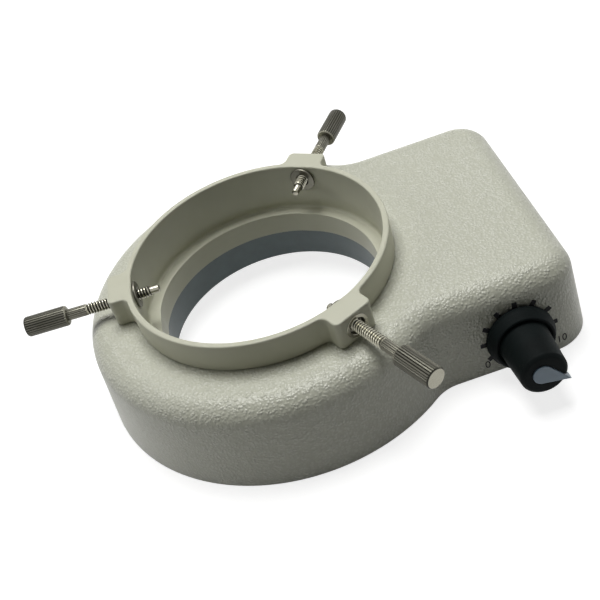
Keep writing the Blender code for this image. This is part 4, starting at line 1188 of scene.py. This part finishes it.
for node_name, finish in NODE_FINISHES.items():
    for material_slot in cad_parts[node_name].material_slots:
        material_slot.link = "OBJECT"
        material_slot.material = finish


# Floor, light and camera

WHITE = (1.0, 1.0, 1.0, 1.0)
FLOOR_COLOUR = (0.46, 0.46, 0.455, 1.0)
FLOOR_GLOW = 0.78
FLOOR_HALF_SIZE = 3.0
SOFT_LIGHT = 0.008
# Name, place, what it looks at, width and height in metres, and power in watts
LIGHTS = (("top_light", (0.0, 0.28, 0.92), (0.01, 0, 0.01), 0.52, 0.48, 7.9),
          ("left_light", (-0.80, 0.10, 0.45), (0, 0, 0.01), 0.4, 0.4, 1.1),
          ("right_light", (0.80, 0.25, 0.45), (0, 0, 0.01), 0.4, 0.4, 0.65))
# The camera as it was fitted to the photo
CAMERA_PLACE = (0.006228, -0.197169, 0.183429)
CAMERA_FORWARD = (0.0016881, 0.75170927, -0.65949247)
CAMERA_RIGHT = (0.94461691, -0.21762545, -0.24563807)
FOCAL_PX = 980.728
PICTURE_PX = 600
SENSOR_MM = 36.0


def backdrop_factor(tree):
    """1 for rays from the camera and for reflections, 0 for the light that falls on things."""
    path = tree.nodes.new("ShaderNodeLightPath")
    total = path.outputs["Is Camera Ray"]
    for key in ("Is Glossy Ray", "Is Transmission Ray"):
        larger = add_node(tree, "ShaderNodeMath", {0: total, 1: path.outputs[key]},
                          operation="MAXIMUM")
        total = larger.outputs[0]
    return total


def build_floor():
    """A plain floor that looks white and still shows a shadow."""
    bm = bmesh.new()
    bmesh.ops.create_grid(bm, x_segments=8, y_segments=8, size=FLOOR_HALF_SIZE)
    mesh = bpy.data.meshes.new("floor")
    bm.to_mesh(mesh)
    bm.free()
    floor = link_object("floor", mesh)
    material = bpy.data.materials.new("floor_white")
    material.use_nodes = True
    tree = material.node_tree
    main = tree.nodes["Principled BSDF"]
    main.inputs["Base Color"].default_value = FLOOR_COLOUR
    main.inputs["Roughness"].default_value = 0.9
    main.inputs["Specular IOR Level"].default_value = 0.1
    scale = add_node(tree, "ShaderNodeMath", {0: backdrop_factor(tree), 1: FLOOR_GLOW},
                     operation="MULTIPLY")
    glow = add_node(tree, "ShaderNodeEmission", {"Color": WHITE, "Strength": scale.outputs[0]})
    both = add_node(tree, "ShaderNodeAddShader", {0: main.outputs[0], 1: glow.outputs[0]})
    tree.links.new(both.outputs[0], tree.nodes["Material Output"].inputs["Surface"])
    mesh.materials.append(material)


def build_world():
    """White where the camera or a reflection sees it, and hardly any light from it."""
    world = bpy.data.worlds.new("studio")
    world.use_nodes = True
    bpy.context.scene.world = world
    tree = world.node_tree
    soft = tree.nodes["Background"]
    soft.inputs["Color"].default_value = WHITE
    soft.inputs["Strength"].default_value = SOFT_LIGHT
    white = add_node(tree, "ShaderNodeBackground", {"Color": WHITE, "Strength": 1.0})
    mix = add_node(tree, "ShaderNodeMixShader", {0: backdrop_factor(tree), 1: soft.outputs[0],
                                                 2: white.outputs[0]})
    tree.links.new(mix.outputs[0], tree.nodes["World Output"].inputs["Surface"])


def add_light(name, place, target, width, height, power):
    light = bpy.data.lights.new(name, "AREA")
    light.shape = "RECTANGLE"
    light.size = width
    light.size_y = height
    light.energy = power
    lamp = link_object(name, light)
    lamp.location = place
    lamp.rotation_euler = (Vector(target) - Vector(place)).to_track_quat("-Z", "Y").to_euler()


def build_camera():
    data = bpy.data.cameras.new("camera")
    data.sensor_width = SENSOR_MM
    data.lens = SENSOR_MM * FOCAL_PX / PICTURE_PX
    data.clip_start = 0.01
    data.clip_end = 20.0
    forward = Vector(CAMERA_FORWARD).normalized()
    right = Vector(CAMERA_RIGHT)
    right = (right - forward * right.dot(forward)).normalized()
    up = right.cross(forward)
    pose = Matrix((right, up, -forward)).transposed().to_4x4()
    pose.translation = Vector(CAMERA_PLACE)
    camera = link_object("camera", data)
    camera.matrix_world = pose
    bpy.context.scene.camera = camera


build_floor()
build_world()
for light_values in LIGHTS:
    add_light(*light_values)
build_camera()
bpy.context.scene.view_settings.view_transform = "Standard"
